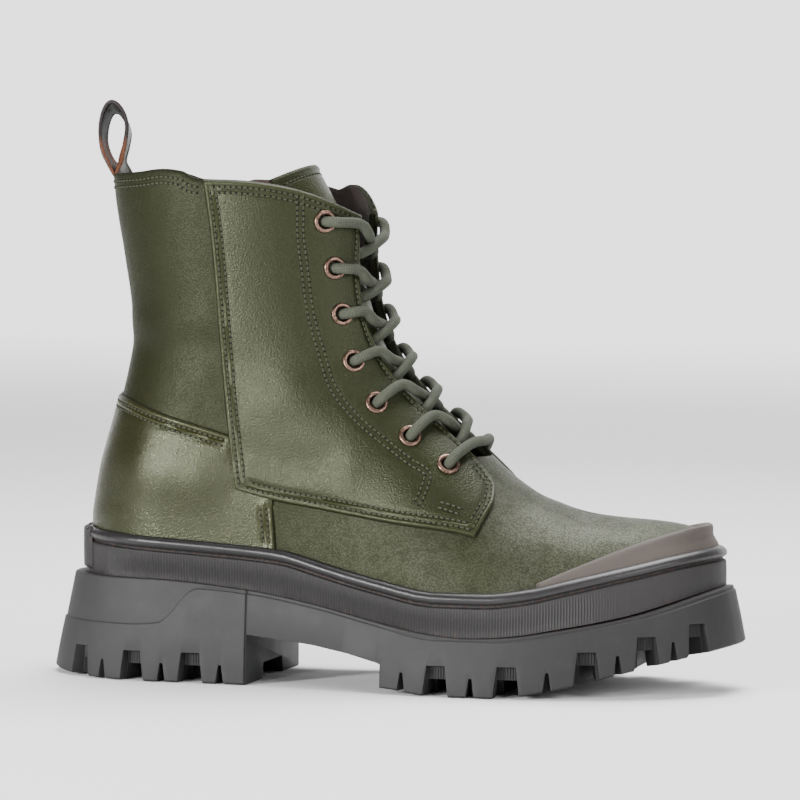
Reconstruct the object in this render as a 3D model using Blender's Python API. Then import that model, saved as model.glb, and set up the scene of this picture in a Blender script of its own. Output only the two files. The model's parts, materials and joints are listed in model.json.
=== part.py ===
"""Right-foot lace-up ankle boot with a lug sole, seven pairs of eyelets and a zip on the inner side.

The tables are in millimetres: x runs from the heel to the toe, y to the inner (medial) side and z up from
the floor. One function, the last, gives the outer face of the upper, and every panel, band and fitting is
placed on it.
"""
import math
from bisect import bisect_right
from collections import namedtuple

import bmesh
import bpy
from mathutils import Vector

MM = 0.001
LATERAL = -1
MEDIAL = 1
SIDES = (LATERAL, MEDIAL)
SIDE_WORDS = ((LATERAL, "lateral"), (MEDIAL, "medial"))

# Clearances and thicknesses
FIT = 0.3
SOLE_GAP = 0.45
LAY_GAP = 0.75
UPPER_WALL = 2.2
PANEL_THICKNESS = 1.4
PANEL_FACE = LAY_GAP + PANEL_THICKNESS
BUMPER_THICKNESS = 1.6
CLIP_THICKNESS = 1.3
INSOLE_THICKNESS = 3.6
INSOLE_GAP = 1.3
TONGUE_THICKNESS = 2.6

# The last below the ankle: a row per cross-section, with half-widths at the feather edge
Foot = namedtuple("Foot", "x centre lateral medial feather fullness")
FOOT = [
    Foot(15.5, 0.0, 32.5, 32.5, 41.0, 1.9),
    Foot(46, 0.0, 33.0, 33.0, 41.0, 1.9),
    Foot(87, 0.0, 34.0, 31.0, 38.0, 1.9),
    Foot(115, -0.5, 37.0, 31.5, 34.0, 1.9),
    Foot(149, -1.0, 42.5, 38.5, 27.0, 1.95),
    Foot(167, -0.8, 44.8, 42.7, 23.9, 2.0),
    Foot(181, -0.4, 45.5, 44.6, 22.9, 2.1),
    Foot(195, 0.2, 45.6, 45.4, 23.5, 2.3),
    Foot(218, 2.2, 45.4, 45.4, 27.0, 2.6),
    Foot(242, 4.8, 45.4, 45.4, 32.0, 2.9),
    Foot(270, 8.0, 45.4, 45.4, 42.0, 3.0),
]
TOE_X = FOOT[-1].x
TOE_ROUND = 80.0

# The last above the ankle: a row per level
Shaft = namedtuple("Shaft", "z lateral medial heel_round shin_round")
SHAFT = [
    Shaft(41, 32.5, 32.5, 36, 60),
    Shaft(60, 33.5, 33.5, 37, 60),
    Shaft(85, 34.0, 34.0, 38, 60),
    Shaft(115, 33.5, 33.5, 40, 62),
    Shaft(150, 34.5, 34.5, 44, 58),
    Shaft(185, 36.5, 36.5, 48, 56),
    Shaft(206, 37.5, 37.5, 50, 56),
]
# The foot sections pass into the shaft sections across this slanting band
BLEND_X = 150.0
BLEND_Z = 60.0
BLEND_SPAN = 70.0

# Side-view outline of the last: up the back, over the toe to the shin, and along the collar
Place = namedtuple("Place", "x z")
BACK = [
    Place(15.5, 41), Place(15.3, 52), Place(15.3, 64), Place(16.2, 71), Place(17.3, 78), Place(18.8, 86),
    Place(20.7, 93), Place(22.9, 101), Place(24.6, 108), Place(26.3, 116), Place(27.9, 123),
    Place(28.9, 130), Place(29.5, 138), Place(29.5, 147), Place(28.5, 155), Place(26.8, 165),
    Place(25.3, 174), Place(23.6, 183), Place(22, 193), Place(21, 202.5),
]
RIDGE = [
    Place(270, 42), Place(270, 49), Place(269.3, 55.5), Place(267, 60), Place(263, 63.5), Place(256, 65.8),
    Place(245, 67.2), Place(234, 67.9), Place(223, 69), Place(212, 71.3), Place(200, 75.8), Place(189, 82.8),
    Place(178, 92.5), Place(165, 105.5), Place(153, 118), Place(144, 129.5), Place(137, 143),
    Place(133, 157), Place(131, 171), Place(130, 185.5),
]
COLLAR = [
    Place(21, 202.5), Place(39, 203.5), Place(51, 204.8), Place(59, 204), Place(66, 201), Place(84, 200.5),
    Place(98, 199), Place(110, 196), Place(120, 191.5), Place(130, 185.5),
]

# Throat: half-width of the gap between the eyestays, by share of the way up the upper
THROAT_X = 179.0
Gap = namedtuple("Gap", "v half")
GAP = [Gap(0.0, 11), Gap(0.4, 12), Gap(0.55, 14), Gap(0.7, 15), Gap(0.88, 14), Gap(1.0, 11.5)]

# Quarter panel in side view, from the collar down its rear edge, along the sole and up its rounded front
# Places of a neighbouring line that come closer than this to a corner are left out
QUARTER_REAR = [
    Place(69, 200.8), Place(72, 179), Place(74, 156), Place(76, 130), Place(79, 102), Place(82.5, 77),
]
QUARTER_SOLE = [
    Place(82.5, 77), Place(99, 73.3), Place(124, 69.5), Place(148, 66), Place(173, 63), Place(182, 61),
]
CORNER_CLEAR = 4.0
QUARTER_FRONT = [Place(182, 61), Place(185, 68.5), Place(186.6, 74), Place(185.5, 79.5), Place(181.5, 84.8)]

# Heel counter in side view: its top edge, its front edge beside the quarter, and its rise off the foxing
COUNTER_TOP = [Place(25.8, 113.5), Place(32, 112.5), Place(51, 107.2), Place(77.3, 99.7)]
COUNTER_FRONT = [Place(100, 55.3), Place(98, 71.3), Place(81.2, 75.2), Place(79.0, 90), Place(77.3, 99.7)]
COUNTER_RISE = 1.0

# Foxing band: height of its rolled top edge, and its section from the skin outwards
FOXING_TOP = [
    Place(10, 60), Place(45, 58), Place(78, 56), Place(103, 54), Place(118, 50.5), Place(144, 44.5),
    Place(169, 40.3), Place(187, 40.3), Place(205, 42.5), Place(217, 45.5), Place(241, 51.5),
    Place(266, 57.3), Place(272, 58),
]
Section = namedtuple("Section", "out below_top")
FOXING_SECTION = [
    Section(3.5, 6.2), Section(2.5, 5.6), Section(2.5, 4.7), Section(4.0, 4.0), Section(4.4, 2.2),
    Section(3.6, 0.5), Section(2.0, 0.0), Section(LAY_GAP, 0.4),
]
FOXING_FOOT = 3.5
FOXING_INNER = (0.3, 0.65, 1.0)

# Toe bumper: its upper edge in side view, where it starts, its rise off the foxing and its least height
BUMPER_TOP = [Place(205, 43.4), Place(220, 50.0), Place(236, 56.6), Place(250, 61.4), Place(262.5, 63.6)]
BUMPER_REAR_X = 209.0
BUMPER_RISE = 0.8
BUMPER_TIP = 0.004

# Heel clip on the foxing
CLIP_REACH_X = 21.0
CLIP_RISE = 1.5
CLIP_TOP_BELOW = 7.0
CLIP_COLUMNS = 4
CLIP_LEVEL = 0.05

# Outsole: how far its top ledge and its lugs stand out from the upper, and the height of its underside
Sole = namedtuple("Sole", "x ledge floor under step")
SOLE = [
    Sole(15.5, 9.3, 17.4, 2.0, 23.0),
    Sole(24, 7.6, 12.6, 0.7, 23.0),
    Sole(40, 5.6, 8.5, 0.0, 23.0),
    Sole(52, 5.3, 8.0, 0.0, 24.0),
    Sole(68, 5.2, 7.6, 0.0, 38.0),
    Sole(90, 5.2, 7.2, 0.0, 36.5),
    Sole(118, 5.2, 7.0, 0.0, 32.4),
    Sole(147, 5.2, 7.6, 2.2, 26.3),
    Sole(170, 5.2, 8.2, 0.0, 22.2),
    Sole(192, 5.2, 8.2, 0.0, 22.2),
    Sole(205, 5.2, 8.2, 1.6, 23.5),
    Sole(218, 5.2, 8.2, 4.3, 25.8),
    Sole(233, 5.3, 8.4, 8.6, 29.0),
    Sole(248, 5.6, 9.0, 12.8, 32.4),
    Sole(270, 6.5, 11.5, 19.5, 40.8),
]
STEP_OUT = 0.8
STEP_SHARES = (-0.4, 0.6)
WAIST = (89.0, 147.0)
WAIST_INSET = 1.0
WAIST_STEP = 0.4
BELOW_FLOOR = -6.0
ACROSS = 90.0
WAIST_ARCH = [
    Place(89, BELOW_FLOOR), Place(89, 20), Place(103, 18.8), Place(118, 17.3), Place(133, 14.8),
    Place(147, 11.5), Place(147, BELOW_FLOOR),
]

# Tread: notches between the edge lugs, slits in the lugs, and grooves that join the notches across
# The cutters start this far below the underside and outside the edge
NOTCHES = (25, 43, 66, 170.5, 197.5, 226, 246, 261)
SLITS = (32.5, 54, 78.5, 157, 184, 212, 236.5, 254)
NOTCH_WIDTH = 9.5
NOTCH_DEPTH = 15.0
NOTCH_HEIGHT = 12.0
SLIT_WIDTH = 2.2
SLIT_DEPTH = 9.0
SLIT_HEIGHT = 7.0
GROOVE_HEIGHT = 6.5
GROOVE_WIDTH = 6.0
GROOVES = NOTCHES[1:7]
GROOVE_LAP = 9.0
TREAD_BELOW = 9.0
TREAD_OUT = 12.0

# Eyelets from the collar down, in side view
EYELETS = [
    Place(115.5, 184.5), Place(119, 166), Place(122.3, 147.5), Place(127.8, 128.8), Place(138, 112.3),
    Place(152, 99.3), Place(167.5, 88.3),
]
EYELET_SIDES = 8
HOLE_SIDES = 6
HOLE_RADIUS = 3.8
HOLE_DEPTHS = (-8.0, 3.0)
Turn = namedtuple("Turn", "radius height")
EYELET_SECTION = [
    Turn(2.5, -4.5), Turn(3.0, -4.5), Turn(3.0, FIT), Turn(4.6, FIT), Turn(4.1, 1.4), Turn(2.8, 1.4),
]

# Lace
LACE_RADIUS = 2.3
LACE_SIDES = 6
LACE_CLEAR = 1.4
LACE_BAR_RISE = 2.0
LACE_MIDDLE_RISE = 0.9
LACE_SHARES = (0.4, 0.68, 0.92)
LACE_LOW_SHARE = 0.55
LACE_END_HALF = 7.0
LACE_END_RISE = -1.2
LACE_EDGE_BACK = 0.01
LACE_BAR_STEPS = 10
LACE_STEPS = 7

# Tongue: its outer face down the middle, with the half-width and the radius of its curve across
Tongue = namedtuple("Tongue", "x z half radius")
TONGUE = [
    Tongue(188.5, 80.3, 13, 20), Tongue(176.0, 88.2, 16, 19), Tongue(162.7, 99.5, 18, 18),
    Tongue(150.6, 111.8, 19, 17), Tongue(140.4, 124.3, 20, 16.5), Tongue(132.6, 139.5, 21, 16),
    Tongue(127.6, 154.6, 21, 16.5), Tongue(123.0, 169.8, 22, 18), Tongue(116.5, 185.6, 24, 23),
    Tongue(104.5, 207.0, 27, 30),
]
TONGUE_GRID = (6, 12)
KEEPER_ROWS = (0.80, 0.86)
KEEPER_COLUMNS = 4
KEEPER_HALF = 8.0
KEEPER_THICKNESS = 1.2

# Zip on the inner side, from the collar down, with its slider and pull tab at the top
ZIP = [Place(69.5, 199.6), Place(72, 179), Place(74, 156), Place(76, 130), Place(79, 102), Place(82, 80)]
ZIP_CLEAR = 4.2
ZIP_DROP = 0.2
ZIP_STEPS = 9
ZIP_CHAIN_HALF = 3.0
ZIP_CHAIN_THICKNESS = 1.5
ZIP_SLIDER_Z = 191.0
SLIDER_SIZE = (8.0, 3.0, 10.0)
SLIDER_BRIDGE = (2.0, 2.6, 5.0)
PULL_SIZE = (6.0, 1.4, 22.0)
BRIDGE_ROOT = 0.5
PULL_OUT = 0.2
PULL_END = 0.9
PULL_SLOT = (2.6, 4.1)
SLOT_TOP = 4.0
GUARD_HALF = 15.0
GUARD_THICKNESS = 1.3
GUARD_FOOT_Z = 90.0
GUARD_BELOW_COLLAR = 4.0
GUARD_MIDDLE_Z = 150.0
GUARD_GRID = (4, 5)

# Pull loop: the strap's outer and inner face in side view, from one end round to the other
Strap = namedtuple("Strap", "outer_x outer_z inner_x inner_z")
LOOP = [
    Strap(20.6, 203.4, 22.3, 205.7), Strap(17.0, 207.7, 19.0, 208.5), Strap(14.2, 214.2, 16.0, 214.6),
    Strap(13.2, 221.3, 14.9, 221.4), Strap(14.3, 229.0, 15.9, 228.3), Strap(17.6, 232.8, 18.0, 231.0),
    Strap(22.3, 230.2, 21.0, 228.9), Strap(25.4, 223.2, 23.7, 222.6), Strap(25.2, 215.2, 23.6, 215.4),
    Strap(24.2, 208.2, 22.7, 208.7), Strap(23.8, 203.4, 22.6, 205.9),
]
LOOP_HALF_WIDTH = 11.0
LOOP_TWIST = 0.2
LOOP_FOOT_TWIST = 0.1
LOOP_FOOT_CURVE = 64.0
LOOP_COLUMNS = 4

# Mesh density
SIDE_COLUMNS = 18
TOE_COLUMNS = 4
UPPER_ROWS = (0.0, 0.06, 0.12, 0.17, 0.22, 0.27, 0.315, 0.355, 0.39, 0.43)
SHAFT_ROWS = 8
PANEL_GRID = (11, 14)
FRONT_CROWDING = 0.18
LOW_CROWDING = 1.3
COUNTER_GRID = (9, 5)
BUMPER_GRID = (12, 3)
SOLE_COLUMNS = 32
INSOLE_COLUMNS = 22

# Points that a panel faces away from: inside the boot, and in front of it
INSIDE = Vector((110, 0, 70))
IN_FRONT = Vector((400, 0, 200))

Finish = namedtuple("Finish", "colour roughness metallic")
FINISHES = {
    "leather": Finish((0.075, 0.085, 0.045), 0.8, 0.0),
    "outsole_rubber": Finish((0.10, 0.11, 0.10), 0.7, 0.0),
    "foxing_rubber": Finish((0.035, 0.028, 0.022), 0.65, 0.0),
    "bumper_rubber": Finish((0.06, 0.045, 0.035), 0.7, 0.0),
    "felt": Finish((0.04, 0.03, 0.022), 0.95, 0.0),
    "eyelet_metal": Finish((0.48, 0.27, 0.19), 0.35, 1.0),
    "lace_cord": Finish((0.09, 0.095, 0.07), 0.85, 0.0),
    "zip_black": Finish((0.012, 0.012, 0.013), 0.4, 0.3),
    "loop_leather": Finish((0.16, 0.075, 0.035), 0.6, 0.0),
}


def smooth_curve(xs, ys):
    """A smooth function through the points that never overshoots them, level beyond both ends."""
    slopes = [(y1 - y0) / (x1 - x0) for x0, x1, y0, y1 in zip(xs, xs[1:], ys, ys[1:])]
    inner = [0.0 if a * b <= 0 else 2 * a * b / (a + b) for a, b in zip(slopes, slopes[1:])]
    tangents = [slopes[0]] + inner + [slopes[-1]]

    def at(x):
        if x <= xs[0]:
            return ys[0]
        if x >= xs[-1]:
            return ys[-1]
        i = bisect_right(xs, x) - 1
        span = xs[i + 1] - xs[i]
        u = (x - xs[i]) / span
        ends = ys[i] * (1 + 2 * u) * (1 - u) ** 2 + ys[i + 1] * u * u * (3 - 2 * u)
        return ends + span * u * (1 - u) * (tangents[i] * (1 - u) - tangents[i + 1] * u)

    return at


def column(table, key, name):
    """One named column of a table as a function of another."""
    return smooth_curve([getattr(row, key) for row in table], [getattr(row, name) for row in table])


def path(places):
    """Side-view places as one smooth curve, from 0 at the first to 1 at the last by length."""
    lengths = [0.0]
    for a, b in zip(places, places[1:]):
        lengths.append(lengths[-1] + math.hypot(b.x - a.x, b.z - a.z))
    shares = [length / lengths[-1] for length in lengths]
    along_x = smooth_curve(shares, [p.x for p in places])
    along_z = smooth_curve(shares, [p.z for p in places])
    return lambda s: Place(along_x(s), along_z(s))


def patch(left, right, low, high):
    """A side-view area filled between four curves: t runs from left to right and v from low to high."""
    corners = (low(0), low(1), high(0), high(1))

    def at(t, v):
        values = []
        for k in range(2):
            edges = (1 - v) * low(t)[k] + v * high(t)[k] + (1 - t) * left(v)[k] + t * right(v)[k]
            ends = (1 - v) * ((1 - t) * corners[0][k] + t * corners[1][k])
            ends += v * ((1 - t) * corners[2][k] + t * corners[3][k])
            values.append(edges - ends)
        return Place(*values)

    return at


def root_of(value, low, high):
    """The place between low and high where a rising function passes zero."""
    for _ in range(40):
        middle = (low + high) / 2
        if value(middle) < 0:
            low = middle
        else:
            high = middle
    return (low + high) / 2


def smoothstep(u):
    u = min(max(u, 0.0), 1.0)
    return u * u * (3 - 2 * u)


def round_end(share):
    """Quarter-circle run-out of a section towards its end: 0 at the end, 1 from a full radius on."""
    return math.sqrt(max(0.0, 1 - (1 - min(max(share, 0.0), 1.0)) ** 2))


def close_spaced(count, both_ends=True):
    """Shares from 0 to 1 that crowd at the start, or at both ends."""
    if both_ends:
        return [(1 - math.cos(math.pi * i / count)) / 2 for i in range(count + 1)]
    return [1 - math.cos(math.pi / 2 * i / count) for i in range(count + 1)]


centre_line = column(FOOT, "x", "centre")
foot_half = {LATERAL: column(FOOT, "x", "lateral"), MEDIAL: column(FOOT, "x", "medial")}
feather_height = column(FOOT, "x", "feather")
foot_fullness = column(FOOT, "x", "fullness")
shaft_half = {LATERAL: column(SHAFT, "z", "lateral"), MEDIAL: column(SHAFT, "z", "medial")}
heel_round = column(SHAFT, "z", "heel_round")
shin_round = column(SHAFT, "z", "shin_round")
back_x = column(BACK, "z", "x")
ridge_height = column(RIDGE[:0:-1], "x", "z")
shin_x = column([place for place in RIDGE if place.x < 224], "z", "x")
foxing_top = column(FOXING_TOP, "x", "z")
bumper_top = column(BUMPER_TOP, "x", "z")
gap_half = column(GAP, "v", "half")
ridge_path = path(RIDGE)


def along_foot(t):
    """The x of a share t of the way from the heel to the toe."""
    return FOOT[0].x + t * (TOE_X - FOOT[0].x)


def share_at(x):
    """The share t of the way from the heel to the toe at x."""
    return (x - FOOT[0].x) / (TOE_X - FOOT[0].x)


def feather_path(t):
    """The feather edge in side view."""
    return Place(along_foot(t), feather_height(along_foot(t)))


side_view = patch(path(BACK), ridge_path, feather_path, path(COLLAR))


def half_width(side, x, z):
    """How far the last stands out from its middle at a side-view place."""
    share = (z - feather_height(x)) / (ridge_height(x) - feather_height(x))
    arch = math.sqrt(max(0.0, 1 - min(max(share, 0.0), 1.0) ** foot_fullness(x)))
    foot = foot_half[side](x) * round_end((TOE_X - x) / TOE_ROUND) * arch
    shaft = shaft_half[side](z) * round_end((x - back_x(z)) / heel_round(z))
    shaft *= round_end((shin_x(z) - x) / shin_round(z))
    blend = smoothstep((BLEND_X - x + z - BLEND_Z) / BLEND_SPAN)
    return foot + (shaft - foot) * blend


def skin_at(side, place):
    """The point of the last at a side-view place."""
    return Vector((place.x, centre_line(place.x) + side * half_width(side, place.x, place.z), place.z))


def skin(side, t, v):
    """The point of the last at shares t from back to front and v from feather edge to collar."""
    return skin_at(side, side_view(t, v))


def skin_normal(side, place, step=0.3):
    """The outward direction of the last at a side-view place."""
    ahead = skin_at(side, Place(place.x + step, place.z)).y - skin_at(side, Place(place.x - step, place.z)).y
    above = skin_at(side, Place(place.x, place.z + step)).y - skin_at(side, Place(place.x, place.z - step)).y
    return (side * Vector((-ahead / (2 * step), 1.0, -above / (2 * step)))).normalized()


def throat_edge(side, v):
    """Share t of the eyestay edge at level v."""
    def over(t):
        place = side_view(t, v)
        return gap_half(v) - half_width(side, place.x, place.z)
    return root_of(over, 0.55, 1.0)


def level_of(side, t, height, top=0.45):
    """Level v at which the last reaches a height that is given along its length."""
    def over(v):
        place = side_view(t, v)
        return place.z - height(place.x)
    return root_of(over, 0.0, top)


def plan_normal(side, t, v):
    """The outward level direction of the last at shares t and v."""
    step = 0.002
    before = skin(side, max(t - step, 0.0), v)
    after = skin(side, min(t + step, 1.0), v)
    if t < step:
        return Vector((-1.0, 0.0, 0.0))
    if t > 1 - step:
        return Vector((1.0, 0.0, 0.0))
    along = after - before
    return Vector((-along.y, along.x, 0.0)).normalized() * side


THROAT_V = root_of(lambda v: THROAT_X - ridge_path(v).x, 0.2, 0.8)


def make_object(name, points, faces, finish, parent):
    """A named mesh object from points in millimetres."""
    mesh = bpy.data.meshes.new(name)
    mesh.from_pydata([Vector(p) * MM for p in points], [], faces)
    mesh.materials.append(finish)
    item = bpy.data.objects.new(name, mesh)
    bpy.context.scene.collection.objects.link(item)
    item.parent = parent
    return item


def close_up(item):
    """Turn the faces of a closed mesh outwards."""
    work = bmesh.new()
    work.from_mesh(item.data)
    bmesh.ops.recalc_face_normals(work, faces=work.faces)
    work.to_mesh(item.data)
    work.free()
    return item


def sheet(name, rows, finish, parent, lift, thickness, inside=INSIDE):
    """A panel of even thickness over rows of points, lifted off them and facing away from a point inside."""
    width = len(rows[0])
    points = [p for row in rows for p in row]
    faces = []
    for j in range(len(rows) - 1):
        for i in range(width - 1):
            a = j * width + i
            faces.append((a, a + 1, a + width + 1, a + width))
    facing = 0.0
    for a, b, c, d in faces:
        across = (points[c] - points[a]).cross(points[d] - points[b])
        facing += across.dot(points[a] - inside)
    if facing < 0:
        faces = [face[::-1] for face in faces]
    item = make_object(name, points, faces, finish, parent)
    displace = item.modifiers.new("lift", "DISPLACE")
    displace.strength = lift * MM
    displace.mid_level = 0.0
    add_thickness(item, thickness, outward=True)
    return item


def add_thickness(item, thickness, outward):
    solidify = item.modifiers.new("thickness", "SOLIDIFY")
    solidify.thickness = thickness * MM
    solidify.offset = 1.0 if outward else -1.0
    solidify.use_even_offset = True
    split_faces(item)


def split_faces(item):
    """Fix how the faces are split, so that the facets are the same everywhere."""
    split = item.modifiers.new("facets", "TRIANGULATE")
    split.quad_method = "BEAUTY"
    split.ngon_method = "BEAUTY"


def cut(item, cutter, operation="DIFFERENCE"):
    """Cut an object with, or join it to, a helper object that isn't rendered."""
    cutter.hide_render = True
    cutter.display_type = "WIRE"
    boolean = item.modifiers.new(cutter.name, "BOOLEAN")
    boolean.operation = operation
    boolean.solver = "EXACT"
    boolean.object = cutter


def box_points(origin, axes, low, high):
    """Corners and faces of a box given by its limits along three axes."""
    points = []
    for corner in range(8):
        at = [high[k] if corner >> k & 1 else low[k] for k in range(3)]
        points.append(origin + axes[0] * at[0] + axes[1] * at[1] + axes[2] * at[2])
    faces = [(0, 2, 3, 1), (4, 5, 7, 6), (0, 1, 5, 4), (2, 6, 7, 3), (0, 4, 6, 2), (1, 3, 7, 5)]
    return points, faces


def join_parts(parts):
    """Points and faces of several pieces as one list."""
    points, faces = [], []
    for part_points, part_faces in parts:
        base = len(points)
        points += part_points
        faces += [tuple(base + k for k in face) for face in part_faces]
    return points, faces


def turned(origin, normal, section, sides):
    """A ring turned about a normal from a closed section of radii and heights."""
    u = normal.cross(Vector((0, 0, 1))).normalized()
    w = normal.cross(u)
    points, faces = [], []
    for i in range(sides):
        angle = 2 * math.pi * i / sides
        ray = u * math.cos(angle) + w * math.sin(angle)
        points += [origin + ray * turn.radius + normal * turn.height for turn in section]
    count = len(section)
    for i in range(sides):
        for k in range(count):
            a, b = i * count, (i + 1) % sides * count
            faces.append((a + k, b + k, b + (k + 1) % count, a + (k + 1) % count))
    return points, faces


def plug(origin, normal, radius, low, high, sides):
    """A capped cylinder along a normal."""
    u = normal.cross(Vector((0, 0, 1))).normalized()
    w = normal.cross(u)
    points = []
    for height in (low, high):
        for i in range(sides):
            angle = 2 * math.pi * i / sides
            points.append(origin + (u * math.cos(angle) + w * math.sin(angle)) * radius + normal * height)
    faces = [(i, (i + 1) % sides, sides + (i + 1) % sides, sides + i) for i in range(sides)]
    faces += [tuple(range(sides))[::-1], tuple(range(sides, 2 * sides))]
    return points, faces


def tube(places, radius, sides, steps):
    """A round cord along a smooth line through the places."""
    lengths = [0.0]
    for a, b in zip(places, places[1:]):
        lengths.append(lengths[-1] + (b - a).length)
    curves = [smooth_curve(lengths, [p[k] for p in places]) for k in range(3)]
    line = [Vector([curve(lengths[-1] * i / steps) for curve in curves]) for i in range(steps + 1)]
    points, faces = [], []
    up = Vector((0.3, 0.0, 1.0))
    for i, p in enumerate(line):
        along = (line[min(i + 1, steps)] - line[max(i - 1, 0)]).normalized()
        u = along.cross(up).normalized()
        w = along.cross(u)
        for k in range(sides):
            angle = 2 * math.pi * k / sides
            points.append(p + (u * math.cos(angle) + w * math.sin(angle)) * radius)
    for i in range(steps):
        for k in range(sides):
            a, b = i * sides, (i + 1) * sides
            faces.append((a + k, a + (k + 1) % sides, b + (k + 1) % sides, b + k))
    faces += [tuple(range(sides))[::-1], tuple(range(steps * sides, (steps + 1) * sides))]
    return points, faces


def build_upper(finish, parent):
    """The hollow upper: a sheet over the last with its wall, open at the collar, the throat and underneath."""
    levels = list(UPPER_ROWS) + [THROAT_V + (1 - THROAT_V) * i / SHAFT_ROWS for i in range(SHAFT_ROWS + 1)]
    shares = close_spaced(SIDE_COLUMNS)
    rows = []
    for v in levels:
        edge = {side: throat_edge(side, v) for side in SIDES}
        row = [skin(LATERAL, edge[LATERAL] * s, v) for s in reversed(shares)]
        row += [skin(MEDIAL, edge[MEDIAL] * s, v) for s in shares[1:]]
        for i in range(1, TOE_COLUMNS + 1):
            row.append(skin(MEDIAL, edge[MEDIAL] + (1 - edge[MEDIAL]) * bent(i / TOE_COLUMNS), v))
        for i in range(TOE_COLUMNS - 1, 0, -1):
            row.append(skin(LATERAL, edge[LATERAL] + (1 - edge[LATERAL]) * bent(i / TOE_COLUMNS), v))
        rows.append(row)
    width = len(rows[0])
    open_from = 2 * SIDE_COLUMNS
    throat_row = len(UPPER_ROWS)
    points = [p for row in rows[:throat_row + 1] for p in row]
    index = [[j * width + i for i in range(width)] for j in range(throat_row + 1)]
    for row in rows[throat_row + 1:]:
        index.append([len(points) + i for i in range(open_from + 1)])
        points += row[:open_from + 1]
    faces = []
    for j in range(len(rows) - 1):
        closed = j < throat_row
        for i in range(width if closed else open_from):
            after = (i + 1) % width
            faces.append((index[j + 1][i], index[j + 1][after], index[j][after], index[j][i]))
    item = make_object("upper", points, faces, finish, parent)
    add_thickness(item, UPPER_WALL, outward=False)
    return item


def bent(share):
    """Crowds columns towards the ridge, where the last turns over."""
    return math.sin(math.pi / 2 * share)


def quarter_rows(side, rear):
    """Rows of points over a quarter panel, from its rear edge to the eyestay."""
    eyestay = []
    for i in range(1, SHAFT_ROWS + 1):
        v = THROAT_V + (1 - THROAT_V) * i / SHAFT_ROWS
        eyestay.append(side_view(throat_edge(side, v), v))
    front = path(QUARTER_FRONT + eyestay)
    start = rear(0)
    last = eyestay[-1]
    between = [p for p in COLLAR if start.x + CORNER_CLEAR < p.x < last.x - CORNER_CLEAR]
    collar = path([start] + between + [last])
    end = rear(1)
    sole = path([end] + [p for p in QUARTER_SOLE if p.x > end.x + CORNER_CLEAR])
    area = patch(lambda v: rear(1 - v), front, sole, collar)
    columns, levels = PANEL_GRID
    rows = []
    for j in range(levels + 1):
        v = (j / levels) ** LOW_CROWDING
        rows.append([skin_at(side, area(crowd_front(i / columns), v)) for i in range(columns + 1)])
    return rows


def crowd_front(share):
    """Crowds columns towards the front, where the last bends most."""
    return share + FRONT_CROWDING * math.sin(math.pi * share)


def counter_rows():
    """Rows of points over the heel counter, round the back from the lateral to the medial side."""
    columns, levels = COUNTER_GRID
    foot_z = foxing_top(BACK[2].x) + COUNTER_RISE
    rise = COUNTER_TOP[0].z - foot_z
    shares = close_spaced(columns, both_ends=False)
    halves = {}

    def back_line(v):
        return Place(back_x(foot_z + v * rise), foot_z + v * rise)

    for side in SIDES:
        shift = 0.0 if side == LATERAL else ZIP_CLEAR
        front = path([Place(p.x - shift, p.z) for p in COUNTER_FRONT])
        top = path(COUNTER_TOP[:-1] + [Place(COUNTER_TOP[-1].x - shift, COUNTER_TOP[-1].z)])

        def low(t, first=back_line(0).x, last=front(0).x):
            x = first + t * (last - first)
            return Place(x, foxing_top(x) + COUNTER_RISE)

        def front_line(v, line=front, foot=low(1)):
            return line(v) if v > 0 else foot

        area = patch(back_line, front_line, low, top)
        halves[side] = [[skin_at(side, area(t, j / levels)) for t in shares] for j in range(levels + 1)]
    return [lateral[::-1] + medial[1:] for lateral, medial in zip(halves[LATERAL], halves[MEDIAL])]


def around_toe(columns, rear_x):
    """Side and share t of columns from the lateral side round the toe to the medial side."""
    start = share_at(rear_x)
    shares = [start + (1 - start) * math.sin(math.pi / 2 * i / columns) for i in range(columns + 1)]
    return [(LATERAL, t) for t in shares] + [(MEDIAL, t) for t in reversed(shares[:-1])]


def bumper_rows():
    """Rows of points over the toe bumper, from the foxing to its upper edge."""
    columns, levels = BUMPER_GRID
    places = around_toe(columns, BUMPER_REAR_X)
    edges = []
    for side, t in places:
        low = level_of(side, t, lambda x: foxing_top(x) + BUMPER_RISE)
        edges.append((low, max(level_of(side, t, bumper_top), low + BUMPER_TIP)))
    rows = []
    for j in range(levels + 1):
        row = []
        for (side, t), (low, high) in zip(places, edges):
            row.append(skin(side, t, low + (high - low) * j / levels))
        rows.append(row)
    return rows


def ring_columns(count):
    """Side and share t of columns all round the feather edge, from the back along the lateral side."""
    shares = close_spaced(count)
    return [(LATERAL, t) for t in shares] + [(MEDIAL, t) for t in reversed(shares[1:-1])]


def build_foxing(finish, parent):
    """The foxing band: its section carried round the feather edge, its inner face close to the skin."""
    columns = ring_columns(SIDE_COLUMNS + TOE_COLUMNS)
    points = []
    for side, t in columns:
        top = level_of(side, t, foxing_top)
        rise = skin(side, t, top).z - skin(side, t, 0.0).z
        section = [Section(LAY_GAP, rise * share) for share in FOXING_INNER]
        section += [Section(FOXING_FOOT, rise)] + FOXING_SECTION
        for out, below in section:
            v = level_of(side, t, lambda x, drop=below: foxing_top(x) - drop)
            points.append(skin(side, t, v) + plan_normal(side, t, v) * out)
    count = len(section)
    faces = []
    for i in range(len(columns)):
        a, b = i * count, (i + 1) % len(columns) * count
        for k in range(count):
            after = (k + 1) % count
            faces.append((a + k, b + k, b + after, a + after))
    return close_up(make_object("foxing", points, faces, finish, parent))


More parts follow.
